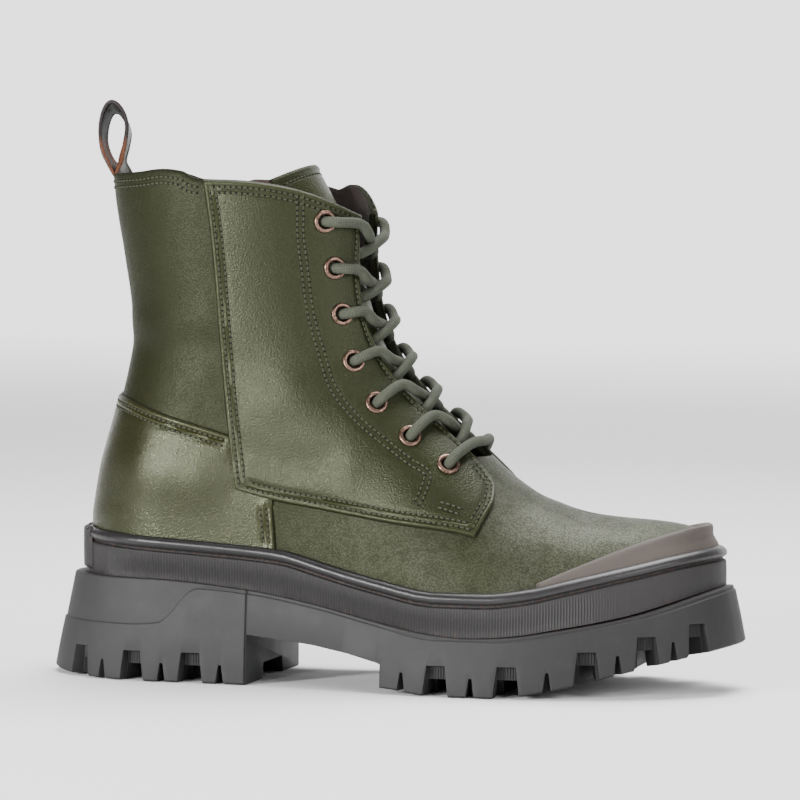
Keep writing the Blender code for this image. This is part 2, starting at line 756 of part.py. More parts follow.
def clip_rows():
    """Rows of points over the heel clip, on the face of the foxing."""
    reach = share_at(CLIP_REACH_X)
    shares = [reach * s for s in close_spaced(CLIP_COLUMNS, both_ends=False)]
    places = [(LATERAL, t) for t in reversed(shares)] + [(MEDIAL, t) for t in shares[1:]]
    rows = []
    for part in (0.0, 1.0):
        row = []
        for side, t in places:
            top = level_of(side, t, lambda x: foxing_top(x) - CLIP_TOP_BELOW)
            foot = level_of(side, t, lambda x: feather_height(x) + CLIP_RISE)
            v = foot + (top - foot) * part
            row.append(skin(side, t, v) + plan_normal(side, t, CLIP_LEVEL) * (FOXING_FOOT + LAY_GAP))
        rows.append(row)
    return rows


def sole_outline(side, t, out):
    """A point level with the feather edge, a distance outside it."""
    return skin(side, t, 0.0) + plan_normal(side, t, 0.0) * out


def sole_shares():
    """Columns along the sole, with pairs at the two steps of the waist."""
    steps = [share_at(x + offset) for x in WAIST for offset in (-WAIST_STEP / 2, WAIST_STEP / 2)]
    return sorted(close_spaced(SOLE_COLUMNS) + steps)


def build_outsole(finish, parent):
    """The outsole: its flared side all round, closed across, then the arch and the tread cut out of it."""
    ledge, floor, under, step = [column(SOLE, "x", name) for name in ("ledge", "floor", "under", "step")]
    points, faces = [], []
    rings = []
    shares = sole_shares()
    for t in shares:
        x = along_foot(t)
        inset = WAIST_INSET if WAIST[0] < x < WAIST[1] else 0.0
        top = feather_height(x) - SOLE_GAP
        share = (top - step(x)) / (top - under(x))
        middle = ledge(x) + (floor(x) - ledge(x)) * share
        levels = [
            (top, ledge(x)), (step(x), middle + STEP_OUT * STEP_SHARES[0]),
            (step(x) - STEP_OUT, middle + STEP_OUT * STEP_SHARES[1]), (under(x), floor(x)),
        ]
        ring = {}
        for side in SIDES:
            ring[side] = []
            if side == MEDIAL and t in (shares[0], shares[-1]):
                ring[side] = ring[LATERAL]
                continue
            for z, out in levels:
                p = sole_outline(side, t, out - inset)
                ring[side].append(len(points))
                points.append(Vector((p.x, p.y, z)))
        rings.append(ring)
    depth = len(rings[0][LATERAL])
    for a, b in zip(rings, rings[1:]):
        for side in SIDES:
            for k in range(depth - 1):
                faces.append((a[side][k], a[side][k + 1], b[side][k + 1], b[side][k]))
        for k in (0, depth - 1):
            loop = [a[LATERAL][k], b[LATERAL][k], b[MEDIAL][k], a[MEDIAL][k]]
            faces.append(tuple(dict.fromkeys(loop)))
    item = close_up(make_object("outsole", points, faces, finish, parent))
    cut(item, prism("cut_arch", WAIST_ARCH, ACROSS, finish, parent))
    cut(item, notch_cutter(finish, parent, floor, under))
    cut(item, groove_cutter(finish, parent, under))
    return item


def prism(name, places, half, finish, parent):
    """A side-view outline carried straight across the boot."""
    count = len(places)
    points = [Vector((p.x, y, p.z)) for y in (-half, half) for p in places]
    faces = [(k, (k + 1) % count, count + (k + 1) % count, count + k) for k in range(count)]
    faces += [tuple(range(count)), tuple(range(count, 2 * count))[::-1]]
    return close_up(make_object(name, points, faces, finish, parent))


def notch_cutter(finish, parent, floor, under):
    """Notches between the edge lugs and slits in the lugs, square to the edge of the sole."""
    parts = []
    kinds = [(NOTCHES, NOTCH_WIDTH, NOTCH_DEPTH, NOTCH_HEIGHT), (SLITS, SLIT_WIDTH, SLIT_DEPTH, SLIT_HEIGHT)]
    for places, width, depth, height in kinds:
        for x in places:
            for side in SIDES:
                t = share_at(x)
                outward = plan_normal(side, t, 0.0)
                along = Vector((-outward.y, outward.x, 0.0))
                edge = sole_outline(side, t, floor(x))
                origin = Vector((edge.x, edge.y, under(x)))
                axes = (along, outward, Vector((0, 0, 1)))
                low = (-width / 2, -depth, -TREAD_BELOW)
                parts.append(box_points(origin, axes, low, (width / 2, TREAD_OUT, height)))
    points, faces = join_parts(parts)
    return close_up(make_object("cut_notches", points, faces, finish, parent))


def groove_cutter(finish, parent, under):
    """Shallower grooves that join the notches across the sole."""
    parts = []
    axes = (Vector((1, 0, 0)), Vector((0, 1, 0)), Vector((0, 0, 1)))
    for x in GROOVES:
        half = foot_half[LATERAL](x) * round_end((TOE_X - x) / TOE_ROUND) - NOTCH_DEPTH + GROOVE_LAP
        origin = Vector((x, centre_line(x), under(x)))
        low = (-GROOVE_WIDTH / 2, -half, -TREAD_BELOW)
        parts.append(box_points(origin, axes, low, (GROOVE_WIDTH / 2, half, GROOVE_HEIGHT)))
    points, faces = join_parts(parts)
    return close_up(make_object("cut_grooves", points, faces, finish, parent))


def build_insole(finish, parent):
    """The insole: a plate inside the upper, on the sole."""
    shares = close_spaced(INSOLE_COLUMNS)
    inset = UPPER_WALL + INSOLE_GAP
    points, faces, rings = [], [], []
    for t in shares:
        ring = {}
        for side in SIDES:
            if side == MEDIAL and t in (shares[0], shares[-1]):
                ring[side] = ring[LATERAL]
                continue
            p = sole_outline(side, t, -inset)
            ring[side] = [len(points), len(points) + 1]
            points += [Vector((p.x, p.y, p.z + FIT)), Vector((p.x, p.y, p.z + FIT + INSOLE_THICKNESS))]
        rings.append(ring)
    for a, b in zip(rings, rings[1:]):
        for side in SIDES:
            faces.append((a[side][0], a[side][1], b[side][1], b[side][0]))
        for k in range(2):
            faces.append(tuple(dict.fromkeys([a[LATERAL][k], b[LATERAL][k], b[MEDIAL][k], a[MEDIAL][k]])))
    return close_up(make_object("insole", points, faces, finish, parent))


def tongue_frame(share):
    """Middle, outward direction, half-width and curve radius of the tongue at a share of its length."""
    line = path([Place(row.x, row.z) for row in TONGUE])
    here, before, after = line(share), line(max(share - 0.01, 0.0)), line(min(share + 0.01, 1.0))
    along = Vector((after.x - before.x, 0.0, after.z - before.z)).normalized()
    outward = Vector((along.z, 0.0, -along.x))
    shares = [i / (len(TONGUE) - 1) for i in range(len(TONGUE))]
    half = smooth_curve(shares, [row.half for row in TONGUE])(share)
    radius = smooth_curve(shares, [row.radius for row in TONGUE])(share)
    return Vector((here.x, centre_line(here.x), here.z)), outward, half, radius


def tongue_row(share, half=None, count=TONGUE_GRID[0]):
    """Points across the tongue's outer face."""
    middle, outward, full, radius = tongue_frame(share)
    reach = half if half else full
    row = []
    for i in range(count + 1):
        y = reach * (2 * i / count - 1)
        row.append(middle + Vector((0, y, 0)) - outward * (y * y / (2 * radius)))
    return row


def lace_point(place, side, out):
    """A point over the quarter at a side-view place, a distance off the panel's face."""
    return skin_at(side, place) + skin_normal(side, place) * (PANEL_FACE + out)


def nearest_level(place):
    """Level v of the ridge nearest to a side-view place."""
    steps = 400
    return min((i / steps for i in range(steps + 1)),
               key=lambda v: (ridge_path(v).x - place.x) ** 2 + (ridge_path(v).z - place.z) ** 2)


def ridge_point(v, out):
    """A point over the middle of the throat, a distance outside the ridge."""
    step = 0.01
    here, before, after = ridge_path(v), ridge_path(v - step), ridge_path(min(v + step, 1.0))
    outward = Vector((after.z - before.z, 0.0, before.x - after.x)).normalized()
    return Vector((here.x, centre_line(here.x), here.z)) + outward * out


def over_eyestay(place, side, edge_v):
    """Places of a strand from above an eyelet, along the eyestay, to over its edge."""
    edge = side_view(throat_edge(side, edge_v) - LACE_EDGE_BACK, edge_v)
    between = Place((place.x + edge.x) / 2, (place.z + edge.z) / 2)
    out = LACE_RADIUS + LACE_CLEAR
    above = out + EYELET_SECTION[-1].height
    return [lace_point(place, side, above), lace_point(between, side, above), lace_point(edge, side, out)]


def lace_strand(index, side):
    """Places of a strand from an eyelet, over the eyestay and across towards the next row down."""
    place = EYELETS[index]
    v, v_below = nearest_level(place), nearest_level(EYELETS[index + 1])
    drop = LACE_LOW_SHARE if index == len(EYELETS) - 2 else 1.0
    edge, middle, end = [v + (v_below - v) * share * drop for share in LACE_SHARES]
    last = ridge_point(end, LACE_END_RISE)
    last.y -= side * LACE_END_HALF
    return over_eyestay(place, side, edge) + [ridge_point(middle, LACE_MIDDLE_RISE), last]


def build_laces(finish, parent):
    """The lowest bar, and each crossing above it as one solid of two strands."""
    place = EYELETS[-1]
    v = max(nearest_level(place), THROAT_V)
    halves = [over_eyestay(place, side, v) for side in SIDES]
    places = halves[0] + [ridge_point(v, LACE_BAR_RISE)] + halves[1][::-1]
    make_object("lace_bar", *tube(places, LACE_RADIUS, LACE_SIDES, LACE_BAR_STEPS), finish, parent)
    for index in range(len(EYELETS) - 1):
        strands = []
        for side, kind in ((LATERAL, "lace_crossing"), (MEDIAL, "join_strand")):
            shape = tube(lace_strand(index, side), LACE_RADIUS, LACE_SIDES, LACE_STEPS)
            name = f"{kind}_{len(EYELETS) - 1 - index}"
            strands.append(close_up(make_object(name, *shape, finish, parent)))
        cut(strands[0], strands[1], "UNION")


def build_eyelets(upper, quarters, finish, parent):
    """Turned eyelets on both eyestays, and the holes that they are set in."""
    for side, word in SIDE_WORDS:
        holes = []
        for index, place in enumerate(EYELETS):
            normal = skin_normal(side, place)
            origin = skin_at(side, place) + normal * PANEL_FACE
            name = f"eyelet_{word}_{len(EYELETS) - index}"
            ring = turned(origin, normal, EYELET_SECTION, EYELET_SIDES)
            close_up(make_object(name, *ring, finish, parent))
            holes.append(plug(origin, normal, HOLE_RADIUS, *HOLE_DEPTHS, HOLE_SIDES))
        cutter = close_up(make_object(f"cut_holes_{word}", *join_parts(holes), finish, parent))
        cut(upper, cutter)
        cut(quarters[side], cutter)


def zip_rows():
    """Rows of points along the zip chain."""
    line = path(ZIP)
    rows = []
    for j in range(ZIP_STEPS + 1):
        here = line(j / ZIP_STEPS)
        offsets = (-ZIP_CHAIN_HALF, 0, ZIP_CHAIN_HALF)
        rows.append([skin_at(MEDIAL, Place(here.x + offset, here.z)) for offset in offsets])
    return rows


def guard_rows():
    """Rows of points over the flap inside the zip."""
    middle = column(ZIP[::-1], "z", "x")(GUARD_MIDDLE_Z)
    collar = column(COLLAR, "x", "z")
    columns, levels = GUARD_GRID
    rows = []
    for j in range(levels + 1):
        row = []
        for i in range(columns + 1):
            x = middle + GUARD_HALF * (2 * i / columns - 1)
            top = collar(x) - GUARD_BELOW_COLLAR
            row.append(skin_at(MEDIAL, Place(x, GUARD_FOOT_Z + (top - GUARD_FOOT_Z) * j / levels)))
        rows.append(row)
    return rows


def build_zip_slider(finish, parent):
    """The slider at the top of the chain with its bridge, and the pull tab that hangs from the bridge."""
    x = column(ZIP[::-1], "z", "x")(ZIP_SLIDER_Z)
    place = Place(x, ZIP_SLIDER_Z)
    normal = skin_normal(MEDIAL, place)
    origin = skin_at(MEDIAL, place) + normal * (LAY_GAP + ZIP_CHAIN_THICKNESS + FIT)
    axes = (Vector((1, 0, 0)), Vector((0, 1, 0)), Vector((0, 0, 1)))
    wide, thick, tall = SLIDER_SIZE
    body = box_points(origin, axes, (-wide / 2, 0.0, -tall / 2), (wide / 2, thick, tall / 2))
    slider = close_up(make_object("zip_slider", *body, finish, parent))
    bridge_wide, bridge_out, bridge_tall = SLIDER_BRIDGE
    low = (-bridge_wide / 2, thick - BRIDGE_ROOT, -bridge_tall / 2)
    high = (bridge_wide / 2, thick + bridge_out, bridge_tall / 2)
    bridge = close_up(make_object("join_bridge", *box_points(origin, axes, low, high), finish, parent))
    cut(slider, bridge, "UNION")
    pull_wide, pull_thick, pull_long = PULL_SIZE
    slot_wide, slot_deep = PULL_SLOT
    hinge_out = thick + bridge_out / 2 + PULL_OUT
    tab_low = (-pull_wide / 2, hinge_out - pull_thick / 2, PULL_END - pull_long)
    tab_high = (pull_wide / 2, hinge_out + pull_thick / 2, PULL_END)
    pull = close_up(make_object("zip_pull", *box_points(origin, axes, tab_low, tab_high), finish, parent))
    slot_low = (-slot_wide / 2, hinge_out - pull_thick, -slot_deep)
    slot_high = (slot_wide / 2, hinge_out + pull_thick, SLOT_TOP)
    slot = close_up(make_object("cut_slot", *box_points(origin, axes, slot_low, slot_high), finish, parent))
    cut(pull, slot)


def build_loop(finish, parent):
    """The pull loop: a strap bent round, a little twisted, that stands on the back of the collar."""
    points, faces = [], []
    foot_z = LOOP[0].outer_z
    rise = max(row.outer_z for row in LOOP) - foot_z
    for i in range(LOOP_COLUMNS + 1):
        y = LOOP_HALF_WIDTH * (2 * i / LOOP_COLUMNS - 1)
        for row in LOOP:
            for x, z in ((row.outer_x, row.outer_z), (row.inner_x, row.inner_z)):
                up = (z - foot_z) / rise
                twist = LOOP_FOOT_TWIST + (LOOP_TWIST - LOOP_FOOT_TWIST) * up
                shift = (1 - up) * y * y / LOOP_FOOT_CURVE - y * twist
                points.append(Vector((x + shift, y, z)))
    count = len(LOOP)
    for i in range(LOOP_COLUMNS):
        a, b = 2 * count * i, 2 * count * (i + 1)
        for k in range(count):
            after = (k + 1) % count
            faces.append((a + 2 * k, b + 2 * k, b + 2 * after, a + 2 * after))
            faces.append((a + 2 * k + 1, a + 2 * after + 1, b + 2 * after + 1, b + 2 * k + 1))
    for base in (0, 2 * count * LOOP_COLUMNS):
        for k in range(count):
            after = (k + 1) % count
            faces.append((base + 2 * k, base + 2 * after, base + 2 * after + 1, base + 2 * k + 1))
    return close_up(make_object("pull_loop", points, faces, finish, parent))


def make_finishes():
    finishes = {}
    for name, finish in FINISHES.items():
        item = bpy.data.materials.new(name)
        item.use_nodes = True
        shader = item.node_tree.nodes["Principled BSDF"]
        shader.inputs["Base Color"].default_value = (*finish.colour, 1.0)
        shader.inputs["Roughness"].default_value = finish.roughness
        shader.inputs["Metallic"].default_value = finish.metallic
        finishes[name] = item
    return finishes


def centre_of_sole():
    """Middle of the sole's plan, which becomes the origin of the whole boot."""
    floor = column(SOLE, "x", "floor")
    xs, ys = [], []
    for t in sole_shares():
        for side in SIDES:
            p = sole_outline(side, t, floor(along_foot(t)))
            xs.append(p.x)
            ys.append(p.y)
    return Vector(((min(xs) + max(xs)) / 2, (min(ys) + max(ys)) / 2, 0.0))


def main():
    for item in list(bpy.data.objects):
        bpy.data.objects.remove(item, do_unlink=True)
    looks = make_finishes()
    root = bpy.data.objects.new("boot", None)
    bpy.context.scene.collection.objects.link(root)
    root.location = -centre_of_sole() * MM

    leather = looks["leather"]
    build_outsole(looks["outsole_rubber"], root)
    build_foxing(looks["foxing_rubber"], root)
    sheet("heel_clip", clip_rows(), looks["foxing_rubber"], root, FIT, CLIP_THICKNESS)
    upper = build_upper(leather, root)
    build_insole(looks["felt"], root)
    sheet("heel_counter", counter_rows(), leather, root, LAY_GAP, PANEL_THICKNESS)
    sheet("toe_bumper", bumper_rows(), looks["bumper_rubber"], root, LAY_GAP, BUMPER_THICKNESS)
    rears = {
        LATERAL: path(QUARTER_REAR),
        MEDIAL: path([Place(p.x + ZIP_CLEAR, p.z - ZIP_DROP) for p in QUARTER_REAR]),
    }
    quarters = {}
    for side, word in SIDE_WORDS:
        rows = quarter_rows(side, rears[side])
        quarters[side] = sheet(f"quarter_{word}", rows, leather, root, LAY_GAP, PANEL_THICKNESS)
    build_eyelets(upper, quarters, looks["eyelet_metal"], root)

    steps = TONGUE_GRID[1]
    tongue_rows = [tongue_row(j / steps) for j in range(steps + 1)]
    sheet("tongue", tongue_rows, leather, root, 0.0, TONGUE_THICKNESS, IN_FRONT)
    keeper_rows = [tongue_row(share, KEEPER_HALF, KEEPER_COLUMNS)[::-1] for share in KEEPER_ROWS]
    sheet("lace_keeper", keeper_rows, leather, root, LAY_GAP, KEEPER_THICKNESS)
    build_laces(looks["lace_cord"], root)

    sheet("zip_chain", zip_rows(), looks["zip_black"], root, LAY_GAP, ZIP_CHAIN_THICKNESS)
    build_zip_slider(looks["zip_black"], root)
    guard_lift = -UPPER_WALL - LAY_GAP - GUARD_THICKNESS
    sheet("zip_guard", guard_rows(), leather, root, guard_lift, GUARD_THICKNESS)
    build_loop(looks["loop_leather"], root)
    for item in root.children:
        if not item.hide_render:
            split_faces(item)


main()
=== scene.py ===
"""Finished look of the right-foot lace-up ankle boot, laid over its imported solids.

The tables are in millimetres, as in the part: x runs from the heel to the toe, y to the inner (medial) side
and z up from the floor. One function, the last, gives the outer face of the upper, and the panels, bands and
seams are laid on it.
"""
import json
import math
import random
from bisect import bisect_right
from collections import namedtuple
from itertools import product

import bpy
from mathutils import Matrix, Vector
from mathutils.bvhtree import BVHTree
from mathutils.kdtree import KDTree


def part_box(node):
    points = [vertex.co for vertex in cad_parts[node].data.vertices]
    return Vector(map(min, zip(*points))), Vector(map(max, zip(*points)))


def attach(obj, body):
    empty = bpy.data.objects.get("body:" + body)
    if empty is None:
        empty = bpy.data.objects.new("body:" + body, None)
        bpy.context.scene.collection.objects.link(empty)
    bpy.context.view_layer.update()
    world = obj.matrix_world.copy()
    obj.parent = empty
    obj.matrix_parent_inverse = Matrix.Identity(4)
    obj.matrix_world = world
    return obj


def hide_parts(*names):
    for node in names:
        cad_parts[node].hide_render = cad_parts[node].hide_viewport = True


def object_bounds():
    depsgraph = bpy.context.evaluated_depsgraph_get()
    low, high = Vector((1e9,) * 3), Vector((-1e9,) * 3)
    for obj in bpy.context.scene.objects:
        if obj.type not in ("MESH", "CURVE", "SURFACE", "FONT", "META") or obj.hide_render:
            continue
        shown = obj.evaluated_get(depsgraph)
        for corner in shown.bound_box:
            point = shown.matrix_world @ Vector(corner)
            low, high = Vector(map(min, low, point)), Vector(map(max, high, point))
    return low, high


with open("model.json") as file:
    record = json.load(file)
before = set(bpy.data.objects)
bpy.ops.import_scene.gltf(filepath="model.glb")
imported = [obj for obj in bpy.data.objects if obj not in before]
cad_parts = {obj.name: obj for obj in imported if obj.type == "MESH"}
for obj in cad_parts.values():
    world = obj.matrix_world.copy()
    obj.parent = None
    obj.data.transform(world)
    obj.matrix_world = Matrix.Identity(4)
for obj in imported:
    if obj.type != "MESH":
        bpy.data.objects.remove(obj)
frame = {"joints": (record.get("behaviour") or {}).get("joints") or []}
CAD_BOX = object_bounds()

bl_info = {
    "name": "Lace-up boot",
    "version": (1, 0, 0),
    "blender": (4, 5, 0),
    "location": "3D View > Sidebar > Boot",
    "description": "Dresses the packed solids of a lace-up ankle boot",
    "category": "Object",
}

MM = 0.001
WELD_REACH = 0.02
LATERAL = -1
MEDIAL = 1
SIDES = (LATERAL, MEDIAL)
SIDE_WORDS = ((LATERAL, "lateral"), (MEDIAL, "medial"))

# The last below the ankle: a row per cross-section, with half-widths at the feather edge
Foot = namedtuple("Foot", "x centre lateral medial feather fullness")
FOOT = [
    Foot(15.5, 0.0, 32.5, 32.5, 41.0, 1.9),
    Foot(46, 0.0, 33.0, 33.0, 41.0, 1.9),
    Foot(87, 0.0, 34.0, 31.0, 38.0, 1.9),
    Foot(115, -0.5, 37.0, 31.5, 34.0, 1.9),
    Foot(149, -1.0, 42.5, 38.5, 27.0, 1.95),
    Foot(167, -0.8, 44.8, 42.7, 23.9, 2.0),
    Foot(181, -0.4, 45.5, 44.6, 22.9, 2.1),
    Foot(195, 0.2, 45.6, 45.4, 23.5, 2.3),
    Foot(218, 2.2, 45.4, 45.4, 27.0, 2.6),
    Foot(242, 4.8, 45.4, 45.4, 32.0, 2.9),
    Foot(270, 8.0, 45.4, 45.4, 42.0, 3.0),
]
TOE_X = FOOT[-1].x
TOE_ROUND = 80.0

# The last above the ankle: a row per level
Shaft = namedtuple("Shaft", "z half heel_round shin_round")
SHAFT = [
    Shaft(41, 32.5, 36, 60),
    Shaft(60, 33.5, 37, 60),
    Shaft(85, 34.0, 38, 60),
    Shaft(115, 33.5, 40, 62),
    Shaft(150, 34.5, 44, 58),
    Shaft(185, 36.5, 48, 56),
    Shaft(206, 37.5, 50, 56),
]
BLEND_X = 150.0
BLEND_Z = 60.0
BLEND_SPAN = 70.0

Place = namedtuple("Place", "x z")


def line_of(*pairs):
    """Side-view places from pairs of x and z."""
    return [Place(*pair) for pair in pairs]


# Side-view outline of the last: up the back, over the toe to the shin, and along the collar
BACK = line_of(
    (15.5, 41), (15.3, 52), (15.3, 64), (16.2, 71), (17.3, 78), (18.8, 86),
    (20.7, 93), (22.9, 101), (24.6, 108), (26.3, 116), (27.9, 123),
    (28.9, 130), (29.5, 138), (29.5, 147), (28.5, 155), (26.8, 165),
    (25.3, 174), (23.6, 183), (22, 193), (21, 202.5),
)
RIDGE = line_of(
    (270, 42), (270, 49), (269.3, 55.5), (267, 60), (263, 63.5), (256, 65.8),
    (245, 67.2), (234, 67.9), (223, 69), (212, 71.3), (200, 75.8), (189, 82.8),
    (178, 92.5), (165, 105.5), (153, 118), (144, 129.5), (137, 143),
    (133, 157), (131, 171), (130, 185.5),
)
COLLAR = line_of(
    (21, 202.5), (39, 203.5), (51, 204.8), (59, 204), (66, 201), (84, 200.5),
    (98, 199), (110, 196), (120, 191.5), (130, 185.5),
)
RIDGE_SHIN_X = 224

# Throat: half-width of the gap between the eyestays, by share of the way up the upper
THROAT_X = 179.0
Gap = namedtuple("Gap", "v half")
GAP = [Gap(0.0, 11), Gap(0.4, 12), Gap(0.55, 14), Gap(0.7, 15), Gap(0.88, 14), Gap(1.0, 11.5)]
THROAT_ROWS = 8

# Grid of the upper: rows below and above the foot of the throat, and columns of the shell and the vamp
VAMP_LEVELS = 34
SHAFT_LEVELS = 46
SHELL_COLUMNS = 64
VAMP_COLUMNS = 16
RIM_DARK = 1.1

# Panels in side view
QUARTER_REAR = line_of(
    (69, 200.8), (72, 179), (74, 156), (76, 130), (79, 102), (82.5, 77),
)
QUARTER_SOLE = line_of(
    (82.5, 77), (99, 73.3), (124, 69.5), (148, 66), (173, 63), (182, 61),
)
QUARTER_FRONT = line_of((182, 61), (185, 68.5), (186.6, 74), (185.5, 79.5), (181.5, 84.8))
CORNER_CLEAR = 4.0
COUNTER_TOP = line_of((25.8, 113.5), (32, 112.5), (51, 107.2))
COUNTER_FRONT = {
    LATERAL: line_of((100, 55.3), (98, 74.6), (84.6, 78.6), (82.2, 90), (81, 99)),
    MEDIAL: line_of((95.8, 55.3), (93.8, 71.3), (77, 75.2), (74.8, 90), (73.1, 99.7)),
}
COUNTER_CORNER_Z = 71.0
COUNTER_BEND_Z = 77.0
COUNTER_TUCK = 2.5
EYESTAY_SEAM = line_of(
    (107, 198), (107, 183), (109, 163), (111, 149), (116, 132), (121, 119),
    (131, 107), (142, 98), (153, 90), (161, 84), (159, 75), (153, 70),
)
BAR_TACK = line_of((166.5, 73.5), (175, 70.8))
SEAM_CLEAR = 1.5
TACK_CLEAR = 2.5
EYESTAY_CLEAR = (4.0, 5.0)
COLLAR_CLEAR = 0.6

# Stitches: blunt ends, holes as dark discs of painted shade, how far they stand proud and turn, and the
# foxing's
BLUNT = 0.6
HOLE_SHADE_PLACE = 0.62
HOLE_SHADE_FLATNESS = 0.35
HOLE_SHADE_WIDTH = 1.5
THREAD_PROUD = 0.12
STITCH_WANDER = 0.06
STITCH_SEED = 11
FOXING_SEAM_DROP = 5.1
FOXING_SEAM_WANDER = 0.25
FOXING_SEAM_KEPT = 0.55
FOXING_THREAD = 0.65
FOXING_STITCH = (0.5, 1.2)

# Sewn panels: their grids, how their edges sink and roll, and how they swell off the seams
QUARTER_GRID = ((130, 1.6), (72, 1.5))
COUNTER_STEP = 1.6
COUNTER_SPANS = {"round": 160, "low": 20, "high": 36, "tab": 17}
PANEL_BACKING = 0.9
PANEL_SINK = 0.3
PRESS_WIDTH = 0.75
SWELL = 0.12
SWELL_START = 6.0
SWELL_SPAN = 10.0
RIDGE_SWELL = 0.15
RIDGE_WIDTH = 0.6
EDGE_DARK = 0.4
# Lighter bands by a panel's edge and on the ridge between its seam rows: partly wear, partly painted
# highlight
WEAR_AND_HIGHLIGHT_EDGE = (1.2, 0.5)
WEAR_AND_HIGHLIGHT_RIDGE = (0.8, 0.55)
TUCK_DEPTH = 0.8
TUCK_REACH = 3.5

# The inner flap is drawn up at the front of the collar
FLAP_RISE = 7.0
FLAP_START = Place(106, 168)
FLAP_SPAN = Place(14, 18)
FLAP_CORNER = 7.0
FLAP_LEAN = 0.3

# The back panel's top is cut lower on the inner side, behind the zip
DIP_DEPTH = 4.2
DIP_ENDS = (38.0, 70.0)
DIP_EASE = 12.0
DIP_FOOT_Z = 180.0
DIP_RISE = 24.0

# Foxing band: height of its rolled top edge, and its section from the foot of the ribs over the bead
FOXING_TOP = line_of(
    (10, 60), (45, 58), (78, 56), (103, 54), (118, 50.5), (144, 44.5),
    (169, 40.3), (187, 40.3), (205, 42.5), (217, 45.5), (241, 51.5),
    (266, 57.3), (272, 58),
)
# The groove column marks painted shade in the recesses under and behind the bead, and a dark line at its foot
Section = namedtuple("Section", "out below_top flecked groove gloss", defaults=(0.0, 0.0, 0.0))
FOXING_BEAD = [
    Section(3.5, 6.2, 0.1), Section(3.2, 5.85, 0.3, 0.5), Section(2.4, 5.6, 0.4, 1.0),
    Section(2.3, 5.1, 0.4, 1.0), Section(2.5, 4.6, 0.4, 1.0), Section(3.4, 4.25, 0.2, 0.6),
    Section(4.1, 3.6, 0.0, 0.0, 0.6), Section(4.4, 2.7, 0.0, 0.0, 1.0), Section(4.4, 1.9, 0.0, 0.0, 1.0),
    Section(4.0, 1.0, 0.0, 0.0, 1.0), Section(3.2, 0.3, 0.0, 0.0, 1.0), Section(2.2, 0.0, 0.0, 0.2, 0.8),
    Section(1.2, 0.15, 0.0, 0.7), Section(0.3, 0.7, 0.0, 1.0),
]
FOXING_OUT = 3.5
FOXING_WALL = ((1.0, 0.9), (0.97, 0.25), (0.7, 0.03), (0.4, 0.03), (0.08, 0.08))
RIB_STARTS = (27.0, 31.0)
RIB_FADES = (222.0, 246.0)

# Toe bumper and heel clip
BUMPER_TOP = line_of((205, 43.4), (220, 50.0), (236, 56.6), (250, 61.4), (262.5, 63.6))
BUMPER_REAR_X = 209.0
BUMPER_TUCK = 2.0
BUMPER_TIP = 0.012
BUMPER_COLUMNS = 56
BUMPER_LEVELS = (0.0, 0.12, 0.24, 0.36, 0.48, 0.58, 0.68, 0.76, 0.83, 0.89, 0.94, 0.975, 1.0)
BUMPER_SINK = 0.3
BUMPER_THICKNESS = 2.1
BUMPER_ROLL = 1.8
BUMPER_RIM = (0.6, 2.2)
BUMPER_RIM_INSET = 2.4
BUMPER_RIM_WIDTH = 1.8
BUMPER_RIM_START = (222.0, 24.0)
BUMPER_RIM_FULL = (246.0, 16.0)
BUMPER_FLECKS = (0.5, 0.9)
CLIP_REACH_X = 21.0
CLIP_RISE = 1.2
CLIP_ABOVE = 0.4
CLIP_OUT = 0.3
CLIP_SINK = 0.4
CLIP_THICKNESS = 2.1
CLIP_ROLL = 1.6
CLIP_BACKING = 1.6
CLIP_COLUMNS = 16
CLIP_FLECKS = 0.4

# Outsole: how far its top ledge and its lugs stand out from the upper, and the height of its underside
Sole = namedtuple("Sole", "x ledge floor under step")
SOLE = [
    Sole(15.5, 9.3, 17.4, 2.0, 23.0),
    Sole(24, 7.6, 12.6, 0.7, 23.0),
    Sole(40, 5.6, 8.5, 0.0, 23.0),
    Sole(52, 5.3, 8.0, 0.0, 24.0),
    Sole(68, 5.2, 7.6, 0.0, 38.0),
    Sole(90, 5.2, 7.2, 0.0, 36.5),
    Sole(118, 5.2, 7.0, 0.0, 32.4),
    Sole(147, 5.2, 7.6, 2.2, 26.3),
    Sole(170, 5.2, 8.2, 0.0, 22.2),
    Sole(192, 5.2, 8.2, 0.0, 22.2),
    Sole(205, 5.2, 8.2, 1.6, 23.5),
    Sole(218, 5.2, 8.2, 4.3, 25.8),
    Sole(233, 5.3, 8.4, 8.6, 29.0),
    Sole(248, 5.6, 9.0, 12.8, 32.4),
    Sole(270, 6.5, 11.5, 19.5, 40.8),
]
SOLE_GAP = 0.1
WAIST = (89.0, 147.0)
WAIST_INSET = 1.0
WAIST_STEP = 0.4
BELOW_FLOOR = -6.0
WAIST_ARCH = line_of(
    (89, BELOW_FLOOR), (89, 20), (103, 18.8), (118, 17.3), (133, 14.8),
    (147, 11.5), (147, BELOW_FLOOR),
)
NOTCHES = (25, 43, 66, 170.5, 197.5, 226, 246, 261)
SLITS = (32.5, 54, 78.5, 157, 184, 212, 236.5, 254)
Cutter = namedtuple("Cutter", "places foot top depth height")
EDGE_CUTTERS = [
    Cutter(NOTCHES, 10.5, 7.5, 4.8, 12.0),
    Cutter(NOTCHES, 9.6, 8.0, 15.0, 6.6),
    Cutter(SLITS, 3.4, 1.2, 9.0, 7.5),
]
NOTCH_RIBS = 7
NOTCH_RIB_PITCH = 1.1
NOTCH_RIB_TALL = 1.1
NOTCH_RIB_WIDTH = 0.8
HEEL_CHANNEL = (34.0, 100.0, 17.0, 6.5)
TREAD_BELOW = 9.0
TREAD_OUT = 12.0
GROOVES = NOTCHES[1:7]
GROOVE_WIDTH = 6.0
GROOVE_HEIGHT = 6.5
GROOVE_REACH = 6.0
CHANNEL_TAPER = 0.8
ARCH_REACH = (-90.0, 90.0)

